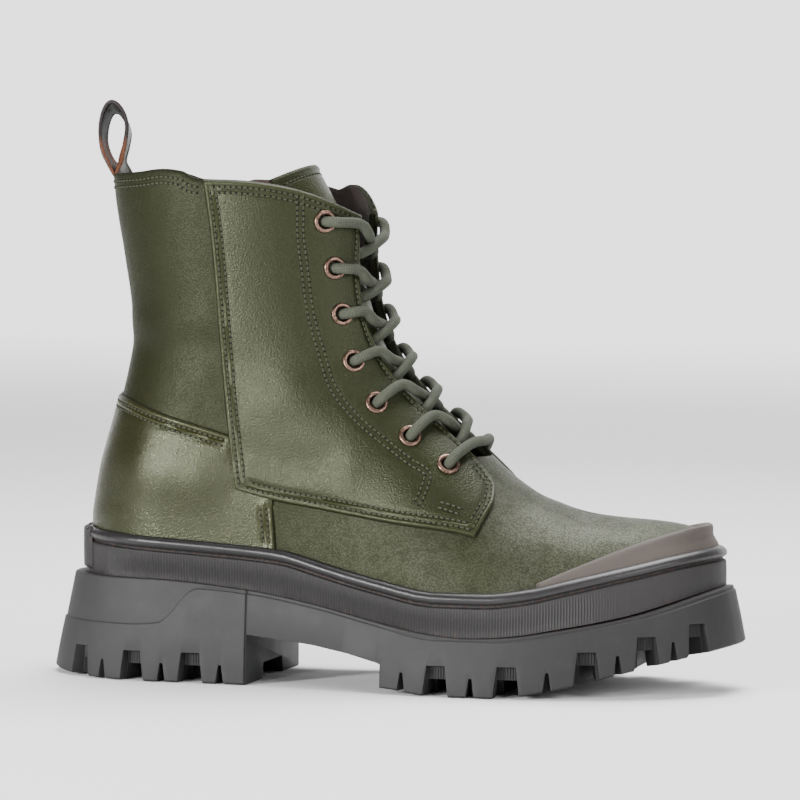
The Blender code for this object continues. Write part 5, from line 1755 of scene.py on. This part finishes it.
class BOOT_OT_insole(bpy.types.Operator):
    """Felt insole that lies on the sole inside the upper"""
    bl_idname = "boot.insole"
    bl_label = "Insole"

    def execute(self, context):
        colours = settings(context)[1]
        rows = []
        for t in close_spaced(INSOLE_GRID[0]):
            ends = [sole_outline(side, t, -INSOLE_INSET) for side in SIDES]
            rows.append([ends[0].lerp(ends[1], s) + Vector((0, 0, FIT + INSOLE_THICKNESS))
                         for s in close_spaced(INSOLE_GRID[1])])
        drop, reach = INSOLE_EDGE
        piece = lay_grid("insole_felt", rows)
        face_away(piece, UNDER_INSOLE)
        lift(piece, [-drop * math.exp(-d / reach) for d in edge_distances(rows)])
        merge(piece, INSOLE_MERGE)
        dress(piece, [lining(colours)])
        thicken(piece, INSOLE_THICKNESS - INSOLE_RECESS)
        hand_over(piece, ["insole"])
        return {"FINISHED"}


def tongue_frame(share, step=0.01):
    """Middle, outward direction, half-width and curve radius of the tongue at a share of its length."""
    here = tongue_path(share)
    before, after = tongue_path(max(share - step, 0.0)), tongue_path(min(share + step, 1.0))
    along = Vector((after.x - before.x, 0.0, after.z - before.z)).normalized()
    outward = Vector((along.z, 0.0, -along.x))
    shares = [i / (len(TONGUE) - 1) for i in range(len(TONGUE))]
    half = smooth_curve(shares, [row.half for row in TONGUE])(share)
    radius = smooth_curve(shares, [row.radius for row in TONGUE])(share)
    return Vector((here.x, centre_line(here.x), here.z)), outward, half, radius


def tongue_point(share, across, half=None):
    """A point of the tongue's outer face, at a share of its length and of its half-width."""
    middle, outward, full, radius = tongue_frame(share)
    y = (half or full) * across
    return middle + Vector((0, y, 0)) - outward * (y * y / (2 * radius))


class BOOT_OT_tongue(bpy.types.Operator):
    """Leather tongue with its felt back, and the lace keeper sewn on it"""
    bl_idname = "boot.tongue"
    bl_label = "Tongue and keeper"

    def execute(self, context):
        colours = settings(context)[1]
        lengths = edge_spaced(*TONGUE_GRID[0])
        widths = [2 * s - 1 for s in edge_spaced(*TONGUE_GRID[1])]
        rows = [[tongue_point(share, a) for a in widths] for share in lengths]
        away = edge_distances(rows, across=(-1,))
        rim, rim_inset, rim_width = TONGUE_RIM
        groove, groove_inset, groove_width = TONGUE_GROOVE
        heights = [rim * bell(d - rim_inset, rim_width) - groove * bell(d - groove_inset, groove_width)
                   for d in away]
        leather = leather_material("tongue_leather", shade(colours.quarter, 1.6))
        piece = sheet("tongue_flap", rows, heights, [leather, lining(colours)], TONGUE_THICKNESS,
                      dark_edges(away), BEHIND_TONGUE, material_offset=1, material_offset_rim=0)
        round_edges(piece, 0.7, 3, 55.0)
        hand_over(piece, ["tongue"])

        low, high = KEEPER_SHARES
        shares = [low + (high - low) * s for s in edge_spaced(*KEEPER_GRID[0])]
        widths = [2 * s - 1 for s in edge_spaced(*KEEPER_GRID[1])]
        rows = [[tongue_point(share, a, KEEPER_HALF) for a in widths] for share in shares]
        away = edge_distances(rows)
        heights = [KEEPER_SEAT + (KEEPER_THICKNESS + KEEPER_LIFT) * round_end(d / KEEPER_ROLL) for d in away]
        keeper = sheet("lace_keeper_tab", rows, heights, [leather], PANEL_BACKING, dark_edges(away),
                       BEHIND_TONGUE)
        hand_over(keeper, ["lace_keeper"])
        return {"FINISHED"}


def standing(place, along, across, up):
    """The transform that turns a small piece's axes to three directions at a place in metres."""
    return Matrix.Translation(place) @ Matrix((along, across, up)).transposed().to_4x4()


def eyelet_seat(side, place):
    """Centre of an eyelet on the quarter's face, and its outward direction."""
    normal = skin_normal(side, place)
    return skin_at(side, place) + normal * PANEL_FACE, normal


def turned_to(origin, normal):
    """The transform that stands a piece modelled about +Z on a face of the boot."""
    turn = normal.to_track_quat("Z", "Y").to_matrix().to_4x4()
    return Matrix.Translation((origin - ORIGIN) * MM) @ turn


class BOOT_OT_eyelets(bpy.types.Operator):
    """Turned copper eyelets in both eyestays, and the holes that they are set in"""
    bl_idname = "boot.eyelets"
    bl_label = "Eyelets"

    def execute(self, context):
        colours = settings(context)[1]
        deselect()
        bpy.ops.mesh.primitive_circle_add(vertices=len(EYELET_SECTION))
        model = bpy.context.object
        for vertex, turn in zip(model.data.vertices, EYELET_SECTION):
            vertex.co = Vector((turn.radius, 0.0, turn.height)) * MM
        in_edit_mode(model, (bpy.ops.mesh.spin, {"steps": 32, "angle": math.tau, "center": (0, 0, 0),
                                                 "axis": (0, 0, 1)}))
        weld(model)
        dress(model, [copper_material(colours.copper)])
        for side, word in SIDE_WORDS:
            plugs = []
            for index, place in enumerate(EYELETS):
                number = len(EYELETS) - index
                origin, normal = eyelet_seat(side, place)
                stand = turned_to(origin, normal)
                ring = copied(model)
                ring.name = ring.data.name = f"eyelet_ring_{word}_{number}"
                ring.data.transform(stand)
                hand_over(ring, [f"eyelet_{word}_{number}"], angle=50.0)
                deselect()
                low, high = HOLE_DEPTHS
                bpy.ops.mesh.primitive_cylinder_add(vertices=24, radius=HOLE_RADIUS * MM,
                                                    depth=(high - low) * MM)
                plug = bpy.context.object
                plug.data.transform(stand @ Matrix.Translation((0, 0, (low + high) / 2 * MM)))
                plugs.append(plug)
            cutter = joined(plugs)
            cut(bpy.data.objects["upper_shell"], copied(cutter))
            cut(bpy.data.objects[f"quarter_{word}_panel"], cutter)
        bpy.data.objects.remove(model)
        return {"FINISHED"}


def smooth_route(points, spacing, steps=24):
    """Points at an even spacing on a smooth curve through a route's own points."""
    fine = []
    for i in range(len(points) - 1):
        before = points[max(i - 1, 0)]
        a, b = points[i], points[i + 1]
        after = points[min(i + 2, len(points) - 1)]
        reach = (b - a).length
        first = (b - before).normalized() * reach
        second = (after - a).normalized() * reach
        for k in range(steps):
            u = k / steps
            fine.append(a * (1 + 2 * u) * (1 - u) ** 2 + b * u * u * (3 - 2 * u)
                        + first * u * (1 - u) ** 2 - second * u * u * (1 - u))
    fine.append(points[-1])
    lengths = run_lengths(fine)
    count = round(lengths[-1] / spacing)
    route = []
    for i in range(count + 1):
        k, share = at_length(lengths, lengths[-1] * i / count)
        route.append(fine[k].lerp(fine[k + 1], share))
    return route


def edge_level(side, place):
    """Level v of the eyestay edge nearest to a side-view place."""
    def apart(v):
        edge = side_view(throat_edge(side, v), v)
        return (edge.x - place.x) ** 2 + (edge.z - place.z) ** 2
    steps = 120
    return min((THROAT_V + (1 - THROAT_V) * i / steps for i in range(steps + 1)), key=apart)


def lace_strand(lower, side, radius):
    """A strand's own points: from inside an eyelet, across the throat, into the next eyelet up opposite."""
    low, high = EYELETS[lower], EYELETS[lower - 1]
    first, first_normal = eyelet_seat(side, low)
    last, last_normal = eyelet_seat(-side, high)

    def at_edge(edge_side, share, back, out):
        start, end = edge_level(edge_side, low), edge_level(edge_side, high)
        v = start + (end - start) * share
        place = side_view(throat_edge(edge_side, v) - back, v)
        return skin_at(edge_side, place) + skin_normal(edge_side, place) * out

    start, end = nearest_level(low), nearest_level(high)
    points = [first - first_normal * LACE_START_DEPTH]
    points += [at_edge(side, *item) for item in LACE_UNDER]
    points.append(ridge_point(start + (end - start) * LACE_MIDDLE, LACE_OVER[side]))
    for share, back, radii, clear in LACE_ABOVE:
        points.append(at_edge(-side, share, back, PANEL_FACE + radius * radii + clear))
    towards = points[-1] - last
    towards = (towards - last_normal * towards.dot(last_normal)).normalized()
    reach, clear = LACE_ON_RING
    points.append(last + towards * reach + last_normal * (radius + clear))
    points.append(last + towards * LACE_IN_RING + last_normal * radius * LACE_DIP)
    points.append(last - last_normal * LACE_SINK)
    return points


class BOOT_OT_lace(bpy.types.Operator):
    """One braided lace: the lowest bar and the crossings, through every eyelet"""
    bl_idname = "boot.lace"
    bl_label = "Lace"

    def execute(self, context):
        sizes, colours = settings(context)
        radius = sizes.lace / MM / 2
        halves = []
        for side in SIDES:
            lowest = len(EYELETS) - 1
            origin, normal = eyelet_seat(side, EYELETS[lowest])
            v = edge_level(side, EYELETS[lowest])
            place = side_view(throat_edge(side, v), v)
            edge = skin_at(side, place) + skin_normal(side, place) * (PANEL_FACE + radius)
            towards = (edge - origin).normalized()
            reach, clear = LACE_ON_RING
            points = [edge, origin + towards * reach + normal * (radius + clear)]
            points.append(origin + towards * LACE_IN_RING + normal * (radius + LACE_BAR_CLEAR))
            points.append(origin + towards * LACE_BAR_SINK[0] - normal * LACE_BAR_SINK[1])
            here = side
            for lower in range(lowest, 0, -1):
                points += lace_strand(lower, here, radius)
                here = -here
            end, end_normal = eyelet_seat(here, EYELETS[0])
            points.append(end - end_normal * LACE_END_DEPTH)
            halves.append(points)
        middle = ridge_point(nearest_level(EYELETS[-1]), LACE_BAR_OVER)
        route = smooth_route(halves[0][::-1] + [middle] + halves[1], LACE_STEP)
        for _ in range(LACE_ROUNDS):
            middles = [(a + b * 2 + c) / 4 for a, b, c in zip(route, route[1:], route[2:])]
            route = route[:1] + middles + route[-1:]
        self.sweep(route, radius, colours)
        return {"FINISHED"}

    def sweep(self, route, radius, colours):
        """Carry the cord's round section along its route."""
        rows = []
        up = Vector((1.0, 0.0, 0.2))
        for i, p in enumerate(route):
            along = (route[min(i + 1, len(route) - 1)] - route[max(i - 1, 0)]).normalized()
            across = (up - along * up.dot(along)).normalized()
            up = across
            other = along.cross(across)
            row = []
            for k in range(LACE_SIDES + 1):
                angle = math.tau * (k % LACE_SIDES) / LACE_SIDES
                ray = across * math.cos(angle) + other * math.sin(angle)
                row.append(p + ray * radius)
            rows.append(row)
        piece = lay_grid("lace", rows)
        layer = piece.data.uv_layers.active.data
        for loop in piece.data.loops:
            i, k = divmod(loop.vertex_index, LACE_SIDES + 1)
            layer[loop.index].uv = (k / LACE_SIDES, i * LACE_STEP / BRAID_PITCH)
        close_ends(piece)
        dress(piece, [lace_material(colours.lace)])
        nodes = ["lace_bar"] + [f"lace_crossing_{i}" for i in range(1, len(EYELETS))]
        hand_over(piece, nodes, angle=60.0)


def capsule(length, width, hole=0.0):
    """Points, faces and end shares of a rounded bar; a stitch has a flat disc of painted shade for its hole
    at one end.
    """
    deselect()
    bpy.ops.mesh.primitive_uv_sphere_add(segments=6, ring_count=4, radius=0.5)
    model = bpy.context.object
    points, ends = [], []
    for vertex in model.data.vertices:
        share = abs(vertex.co.z) * 2
        along = math.copysign(share ** BLUNT, vertex.co.z) * length / 2
        points.append(Vector((along, vertex.co.x * width, vertex.co.y * width)))
        ends.append(share)
    faces = [tuple(face.vertices) for face in model.data.polygons]
    if hole:
        count = len(points)
        points += [Vector((v.co.x * hole + length * HOLE_SHADE_PLACE, v.co.y * hole, v.co.z * hole * HOLE_SHADE_FLATNESS))
                   for v in model.data.vertices]
        faces += [tuple(count + k for k in face) for face in faces]
        ends += [1.0] * count
    bpy.data.objects.remove(model)
    return points, faces, ends


def strewn(name, model, stands):
    """Many copies of one small shape as a joined mesh, each at its own transform."""
    points, faces, ends = model
    all_points, all_faces, all_ends = [], [], []
    for stand in stands:
        base = len(all_points)
        all_points += [stand @ p for p in points]
        all_faces += [tuple(base + k for k in face) for face in faces]
        all_ends += ends
    mesh = bpy.data.meshes.new(name)
    mesh.from_pydata(all_points, [], all_faces)
    piece = bpy.data.objects.new(name, mesh)
    bpy.context.scene.collection.objects.link(piece)
    # the end shares mark where thread is painted dark as shade of its holes
    mark(piece, "end", all_ends)
    return piece


class Ground:
    """The leather that stitches are seated on."""

    def __init__(self, names):
        graph = bpy.context.evaluated_depsgraph_get()
        self.trees = [BVHTree.FromObject(bpy.data.objects[name], graph) for name in names]

    def seat(self, point, outward, reach=9.0):
        """The outermost leather under a point of the tables, and its normal."""
        start = (point - ORIGIN) * MM + outward * reach * MM
        hits = [tree.ray_cast(start, -outward, 2 * reach * MM) for tree in self.trees]
        hits = [hit for hit in hits if hit[0] is not None]
        if not hits:
            return None
        nearest = min(hits, key=lambda hit: hit[3])
        return nearest[0], nearest[1]


def stitch_stands(ground, points, outwards, sizes, rng, wander=0.0):
    """Transforms of the stitches along one row."""
    lengths = run_lengths(points)
    pitch = sizes.stitch_pitch / MM
    count = int(lengths[-1] / pitch)
    stands = []
    for i in range(count):
        k, share = at_length(lengths, (i + 0.5) * lengths[-1] / count)
        here = points[k].lerp(points[k + 1], share)
        found = ground.seat(here, outwards[k])
        if found is None:
            continue
        place, normal = found
        along = (points[k + 1] - points[k]).normalized()
        along = (along - normal * along.dot(normal)).normalized()
        along = (along + normal.cross(along) * rng.uniform(-1, 1) * (STITCH_WANDER + wander)).normalized()
        spot = place + normal * sizes.thread * THREAD_PROUD
        stands.append(standing(spot, along, normal.cross(along), normal))
    return stands


class BOOT_OT_stitches(bpy.types.Operator):
    """Every row of stitches: double rows on the panels, the collar, the tongue and the foxing's groove"""
    bl_idname = "boot.stitches"
    bl_label = "Stitches"

    def execute(self, context):
        sizes, colours = settings(context)
        rng = random.Random(STITCH_SEED)
        panels = [f"quarter_{word}_panel" for _, word in SIDE_WORDS]
        ground = Ground(["upper_shell", *panels, "heel_counter_panel"])
        stands = []
        for side in SIDES:
            rows = quarter_seams(side, sizes) + counter_seams(side, sizes) + collar_seams(side, sizes)
            for row in rows:
                points = [leather_at(side, p) for p in row]
                outwards = [skin_normal(side, p) for p in row]
                stands += stitch_stands(ground, points, outwards, sizes, rng)
        tongue = Ground(["tongue_flap"])
        start, run, across = TONGUE_SEAM_START, TONGUE_SEAM_RUN, TONGUE_SEAM_ACROSS
        corner = TONGUE_SEAM_CORNER
        edge = [(start + run * i / 60, -across) for i in range(61)]
        edge += [(TONGUE_SEAM_TOP, -corner + 2 * corner * i / 40) for i in range(41)]
        edge += [(start + run - run * i / 60, across) for i in range(61)]
        points = [tongue_point(*item) for item in edge]
        stands += stitch_stands(tongue, points, [tongue_frame(share)[1] for share, _ in edge], sizes, rng)
        model = capsule(sizes.stitch, sizes.thread, sizes.thread * HOLE_SHADE_WIDTH)
        piece = strewn("upper_stitches", model, stands)
        dress(piece, [thread_material("upper_thread", colours.thread)])
        hand_over(piece, [])
        self.sew_foxing(sizes, colours, rng)
        return {"FINISHED"}

    def sew_foxing(self, sizes, colours, rng):
        ground = Ground(["foxing_band"])
        points, outwards = [], []
        for side, t in ring_columns(140):
            v = level_of(t, lambda x: foxing_top(x) - FOXING_SEAM_DROP)
            points.append(skin(side, t, v))
            outwards.append(plan_normal(side, t, v))
        stands = []
        for stand in stitch_stands(ground, points, outwards, sizes, rng, FOXING_SEAM_WANDER):
            if rng.random() < FOXING_SEAM_KEPT:
                length = rng.uniform(*FOXING_STITCH)
                stands.append(stand @ Matrix.Diagonal((length, FOXING_THREAD, FOXING_THREAD, 1.0)))
        piece = strewn("foxing_stitches", capsule(sizes.stitch, sizes.thread), stands)
        dress(piece, [thread_material("foxing_thread", colours.fleck)])
        hand_over(piece, [])


class BOOT_OT_zip(bpy.types.Operator):
    """Zip on the inner side: woven tape, teeth, slider, pull tab and the guard flap behind it"""
    bl_idname = "boot.zip"
    bl_label = "Zip"

    def execute(self, context):
        sizes, colours = settings(context)
        metal = zip_metal_material(colours.zip_black)
        self.make_tape(colours)
        self.make_teeth(sizes, metal)
        self.make_slider(metal)
        self.make_guard(colours)
        return {"FINISHED"}

    def make_tape(self, colours):
        rows = [[skin_at(MEDIAL, Place(here.x + ZIP_TAPE_HALF * o, here.z)) for o in ZIP_TAPE_ACROSS]
                for here in sampled(path(ZIP), ZIP_TAPE_ROWS)]
        piece = sheet("zip_tape", rows, ZIP_TAPE_HEIGHTS * len(rows), [tape_material(colours.zip_black)],
                      ZIP_TAPE_THICKNESS)
        hand_over(piece, ["zip_chain"])

    def make_teeth(self, sizes, metal):
        line = path(ZIP)
        pitch = sizes.tooth_pitch / MM
        length = sum((Vector(b) - Vector(a)).length for a, b in zip(ZIP, ZIP[1:]))
        stands = []
        count = int(length / pitch)
        for i in range(1, 2 * count - 1):
            here, ahead = line(i / (2 * count)), line((i + 1) / (2 * count))
            side = 1 if i % 2 else -1
            place = Place(here.x + side * TOOTH_APART, here.z)
            normal = skin_normal(MEDIAL, place)
            down = (skin_at(MEDIAL, ahead) - skin_at(MEDIAL, here)).normalized()
            across = down.cross(normal).normalized()
            spot = (skin_at(MEDIAL, place) + normal * TOOTH_OUT - ORIGIN) * MM
            stands.append(standing(spot, across, normal.cross(across), normal))
        piece = strewn("zip_teeth", capsule(*[size * MM for size in TOOTH_SIZE]), stands)
        dress(piece, [metal])
        hand_over(piece, ["zip_chain"])

    def make_slider(self, metal):
        place = Place(zip_x(ZIP_SLIDER_Z), ZIP_SLIDER_Z)
        normal = skin_normal(MEDIAL, place)
        origin = skin_at(MEDIAL, place) + normal * (ZIP_FACE + FIT)
        wide, thick, tall = SLIDER_SIZE
        corners = []
        for x, y, z in product((-1, 1), (0.0, thick), (-1, 1)):
            half = wide / 2 * (SLIDER_FOOT_TAPER if z < 0 else 1.0) * (1.0 if y == 0 else SLIDER_FACE_TAPER)
            corners.append(origin + Vector((x * half, y, z * tall / 2)))
        slider = block(corners)
        slider.name = slider.data.name = "zip_slider_body"
        bridge_wide, bridge_out, bridge_tall = SLIDER_BRIDGE
        corners = []
        for x, y, z in product((-1, 1), (thick - BRIDGE_SINK, thick + bridge_out), (-1, 1)):
            half = bridge_tall / 2 * (1.0 if y < thick else BRIDGE_TAPER)
            corners.append(origin + Vector((x * bridge_wide / 2, y, z * half)))
        cut(slider, block(corners), "UNION")
        round_edges(slider, 0.5, 3, 30.0)
        dress(slider, [metal])
        hand_over(slider, ["zip_slider"])

        pull_wide, pull_thick, pull_long = PULL_SIZE
        out = thick + bridge_out / 2 + PULL_OUT
        corners = []
        faces = (out - pull_thick / 2, out + pull_thick / 2)
        for x, y, z in product((-1, 1), faces, (PULL_END - pull_long, PULL_END)):
            half = pull_wide / 2 * (1.0 if z < 0 else PULL_TAPER)
            corners.append(origin + Vector((x * half, y, z)))
        pull = block(corners)
        pull.name = pull.data.name = "zip_pull_tab"
        slot_wide, slot_deep = PULL_SLOT
        for heights in ((-slot_deep, PULL_SLOT_TOP), (-pull_long + PULL_TIP, -pull_long / 2)):
            self.cut_slot(pull, origin + Vector((0, out, 0)), slot_wide / 2, heights)
        round_edges(pull, 0.3, 2, 30.0)
        dress(pull, [metal])
        hand_over(pull, ["zip_pull"], body="zip_pull")

    def cut_slot(self, pull, middle, half, heights):
        corners = [middle + Vector((x * half, y * PULL_SLOT_REACH, z))
                   for x, y, z in product((-1, 1), (-1, 1), heights)]
        cut(pull, block(corners))

    def make_guard(self, colours):
        middle = zip_x(GUARD_MIDDLE_Z)
        widths = [2 * s - 1 for s in edge_spaced(*GUARD_GRID[1])]
        rows = []
        for share in edge_spaced(*GUARD_GRID[0]):
            row = []
            for a in widths:
                x = middle + GUARD_HALF * a
                top = collar_height(x) - GUARD_BELOW_COLLAR
                row.append(leather_at(MEDIAL, Place(x, GUARD_FOOT_Z + (top - GUARD_FOOT_Z) * share)))
            rows.append(row)
        away = edge_distances(rows)
        roll, reach = GUARD_ROLL
        heights = [-GUARD_DEPTH - roll + roll * round_end(d / reach) for d in away]
        leather = leather_material("guard_leather", colours.quarter)
        piece = sheet("zip_guard_flap", rows, heights, [leather], GUARD_THICKNESS, dark_edges(away))
        round_edges(piece, 0.3, 2, 55.0)
        hand_over(piece, ["zip_guard"])


class BOOT_OT_pull_loop(bpy.types.Operator):
    """Pull loop: a strap bent round and a little twisted, sewn in at the back of the collar"""
    bl_idname = "boot.pull_loop"
    bl_label = "Pull loop"

    def execute(self, context):
        colours = settings(context)[1]
        middle = [Vector(((row.outer_x + row.inner_x) / 2, 0, (row.outer_z + row.inner_z) / 2))
                  for row in LOOP]
        foot = Vector((LOOP_FOOT.x, 0, LOOP_FOOT.z))
        route = smooth_route([foot] + middle[1:-1] + [foot], LOOP_STEP)
        foot_z = LOOP[0].outer_z
        rise = max(row.outer_z for row in LOOP) - foot_z
        rear, front = LOOP_TWIST
        turn, span = LOOP_TURN
        rows = []
        for i, p in enumerate(route):
            row = []
            up = smoothstep((p.z - foot_z) / rise)
            twist = rear + (front - rear) * smoothstep((i / len(route) - turn) / span)
            twist *= smoothstep((p.z - LOOP_FOOT.z) / LOOP_FOOT_RISE)
            for s in edge_spaced(*LOOP_GRID):
                y = LOOP_HALF_WIDTH * (2 * s - 1)
                x = p.x + (1 - up) * y * y / LOOP_FOOT_CURVE - y * twist + LOOP_UPRIGHT * (2 * up - 1)
                row.append(Vector((x, y, p.z - (y + LOOP_HALF_WIDTH) * LOOP_SLANT * up)))
            rows.append(row)
        away = edge_distances(rows, across=())
        groove, inset, width = LOOP_GROOVE
        heights = [LOOP_FACE - groove * bell(d - inset, width) for d in away]
        leather = leather_material("loop_leather_outer", shade(colours.loop_dark, 0.7))
        piece = sheet("pull_loop_strap", rows, heights, [leather, loop_material(colours)], LOOP_THICKNESS,
                      dark_edges(away, LOOP_EDGE_DARK), LOOP_HEART, material_offset=1, material_offset_rim=1)
        round_edges(piece, 0.35, 2, 55.0)
        hand_over(piece, ["pull_loop"])
        return {"FINISHED"}


class BootStage(bpy.types.PropertyGroup):
    """Camera, lights and floor."""
    turn: bpy.props.FloatProperty(
        name="Turn", description="Camera's turn towards the toe", default=math.radians(14.5), subtype="ANGLE")
    roll: bpy.props.FloatProperty(
        name="Roll", description="Camera's roll", default=math.radians(0.6), subtype="ANGLE")
    distance: length_property("Distance", "From the camera to the boot's middle", 1.8)
    height: length_property("Height", "Camera's height off the floor", 0.203)
    aim: length_property("Aim", "Height that the camera looks at", 0.1129)
    lens: bpy.props.FloatProperty(name="Lens", description="Focal length in millimetres", default=201.6)
    floor_colour: colour_property("Floor", "Pale floor", (0.82, 0.82, 0.82))
    sky: bpy.props.FloatProperty(name="Sky", description="Strength of the even light all round", default=0.3)
    backdrop: bpy.props.FloatProperty(
        name="Backdrop", description="Brightness of the screen behind the boot", default=2.4)


class BOOT_OT_stage(bpy.types.Operator):
    """Pale floor, soft studio lights and the camera"""
    bl_idname = "boot.stage"
    bl_label = "Stage"

    def execute(self, context):
        stage = context.scene.boot_stage
        self.lay_floor(stage)
        for lamp in LAMPS:
            self.light(*lamp)
        world = context.scene.world or bpy.data.worlds.new("studio")
        context.scene.world = world
        world.use_nodes = True
        sky = world.node_tree.nodes["Background"]
        sky.inputs["Color"].default_value = WHITE
        sky.inputs["Strength"].default_value = stage.sky
        self.set_camera(context, stage)
        return {"FINISHED"}

    def lay_floor(self, stage):
        low = CAD_BOX[0].z / MM - FLOOR_BELOW
        profile = [Vector((0, y, low)) for y in FLOOR_ROWS]
        for angle in [math.radians(5 * i) for i in range(1, 19)]:
            back = FLOOR_ROWS[-1] + FLOOR_BEND * math.sin(angle)
            profile.append(Vector((0, back, low + FLOOR_BEND - FLOOR_BEND * math.cos(angle))))
        profile.append(Vector((0, FLOOR_HALF, FLOOR_TOP)))
        rows = [[p + Vector((x, 0, 0)) for x in (-FLOOR_HALF, 0, FLOOR_HALF)] for p in profile]
        floor = lay_grid("studio_floor", rows)
        look = Shading("pale_floor")
        cloud = look.noise(400, 2.0)
        colour = opaque(stage.floor_colour)
        far = look.parts(look.where)[1].above(0.5, 4.0)
        glow = look.mixed(far, BLACK, WHITE)
        tone = look.mixed(cloud * 0.1, colour, shade(colour, 0.96))
        tone = look.mixed(far, tone, BLACK)
        dress(floor, [look.finish(tone, 0.8, Emission_Color=glow, Emission_Strength=stage.backdrop,
                                  Specular_IOR_Level=0.0)])
        activate(floor)
        bpy.ops.object.shade_smooth()

    def light(self, name, place, size, power):
        deselect()
        bpy.ops.object.light_add(type="AREA", location=place)
        lamp = bpy.context.object
        lamp.name = f"studio_{name}_light"
        lamp.data.shape = "RECTANGLE"
        lamp.data.size, lamp.data.size_y = size
        lamp.data.energy = power
        middle = (CAD_BOX[0] + CAD_BOX[1]) / 2
        lamp.rotation_euler = (Vector(place) - middle).to_track_quat("Z", "Y").to_euler()

    def set_camera(self, context, stage):
        deselect()
        forward = Vector((-math.sin(stage.turn), math.cos(stage.turn), 0.0))
        eye = Vector((0.0, 0.0, stage.height)) - forward * stage.distance
        look = Vector((*AIM_PLAN, stage.aim)) - eye
        bpy.ops.object.camera_add(location=eye)
        camera = bpy.context.object
        turn = look.to_track_quat("-Z", "Y").to_matrix() @ Matrix.Rotation(stage.roll, 3, "Z")
        camera.rotation_euler = turn.to_euler()
        camera.data.lens = stage.lens
        camera.data.sensor_width = SENSOR_WIDTH
        context.scene.camera = camera


class BOOT_PT_panel(bpy.types.Panel):
    """Lists the boot's pieces"""
    bl_idname = "BOOT_PT_panel"
    bl_label = "Boot"
    bl_space_type = "VIEW_3D"
    bl_region_type = "UI"
    bl_category = "Boot"

    def draw(self, context):
        for operator in PIECES:
            self.layout.operator(operator.bl_idname)
        for group in (context.scene.boot_sizes, context.scene.boot_colours, context.scene.boot_stage):
            box = self.layout.box()
            for name in group.bl_rna.properties.keys():
                if name not in ("rna_type", "name"):
                    box.prop(group, name)


PIECES = (
    BOOT_OT_stage, BOOT_OT_upper, BOOT_OT_quarters, BOOT_OT_heel_counter, BOOT_OT_toe_bumper, BOOT_OT_foxing,
    BOOT_OT_heel_clip, BOOT_OT_outsole, BOOT_OT_insole, BOOT_OT_tongue, BOOT_OT_eyelets, BOOT_OT_lace,
    BOOT_OT_zip, BOOT_OT_pull_loop, BOOT_OT_stitches,
)
GROUPS = {"boot_sizes": BootSizes, "boot_colours": BootColours, "boot_stage": BootStage}


def register():
    for kind in (*GROUPS.values(), *PIECES, BOOT_PT_panel):
        bpy.utils.register_class(kind)
    for name, group in GROUPS.items():
        setattr(bpy.types.Scene, name, bpy.props.PointerProperty(type=group))


def unregister():
    for name in GROUPS:
        delattr(bpy.types.Scene, name)
    for kind in (BOOT_PT_panel, *reversed(PIECES), *GROUPS.values()):
        bpy.utils.unregister_class(kind)


def main():
    register()
    bpy.ops.boot.stage()
    bpy.ops.boot.upper()
    bpy.ops.boot.quarters()
    bpy.ops.boot.heel_counter()
    bpy.ops.boot.toe_bumper()
    bpy.ops.boot.foxing()
    bpy.ops.boot.heel_clip()
    bpy.ops.boot.outsole()
    bpy.ops.boot.insole()
    bpy.ops.boot.tongue()
    bpy.ops.boot.eyelets()
    bpy.ops.boot.lace()
    bpy.ops.boot.zip()
    bpy.ops.boot.pull_loop()
    bpy.ops.boot.stitches()
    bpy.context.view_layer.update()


if __name__ == "__main__":
    main()
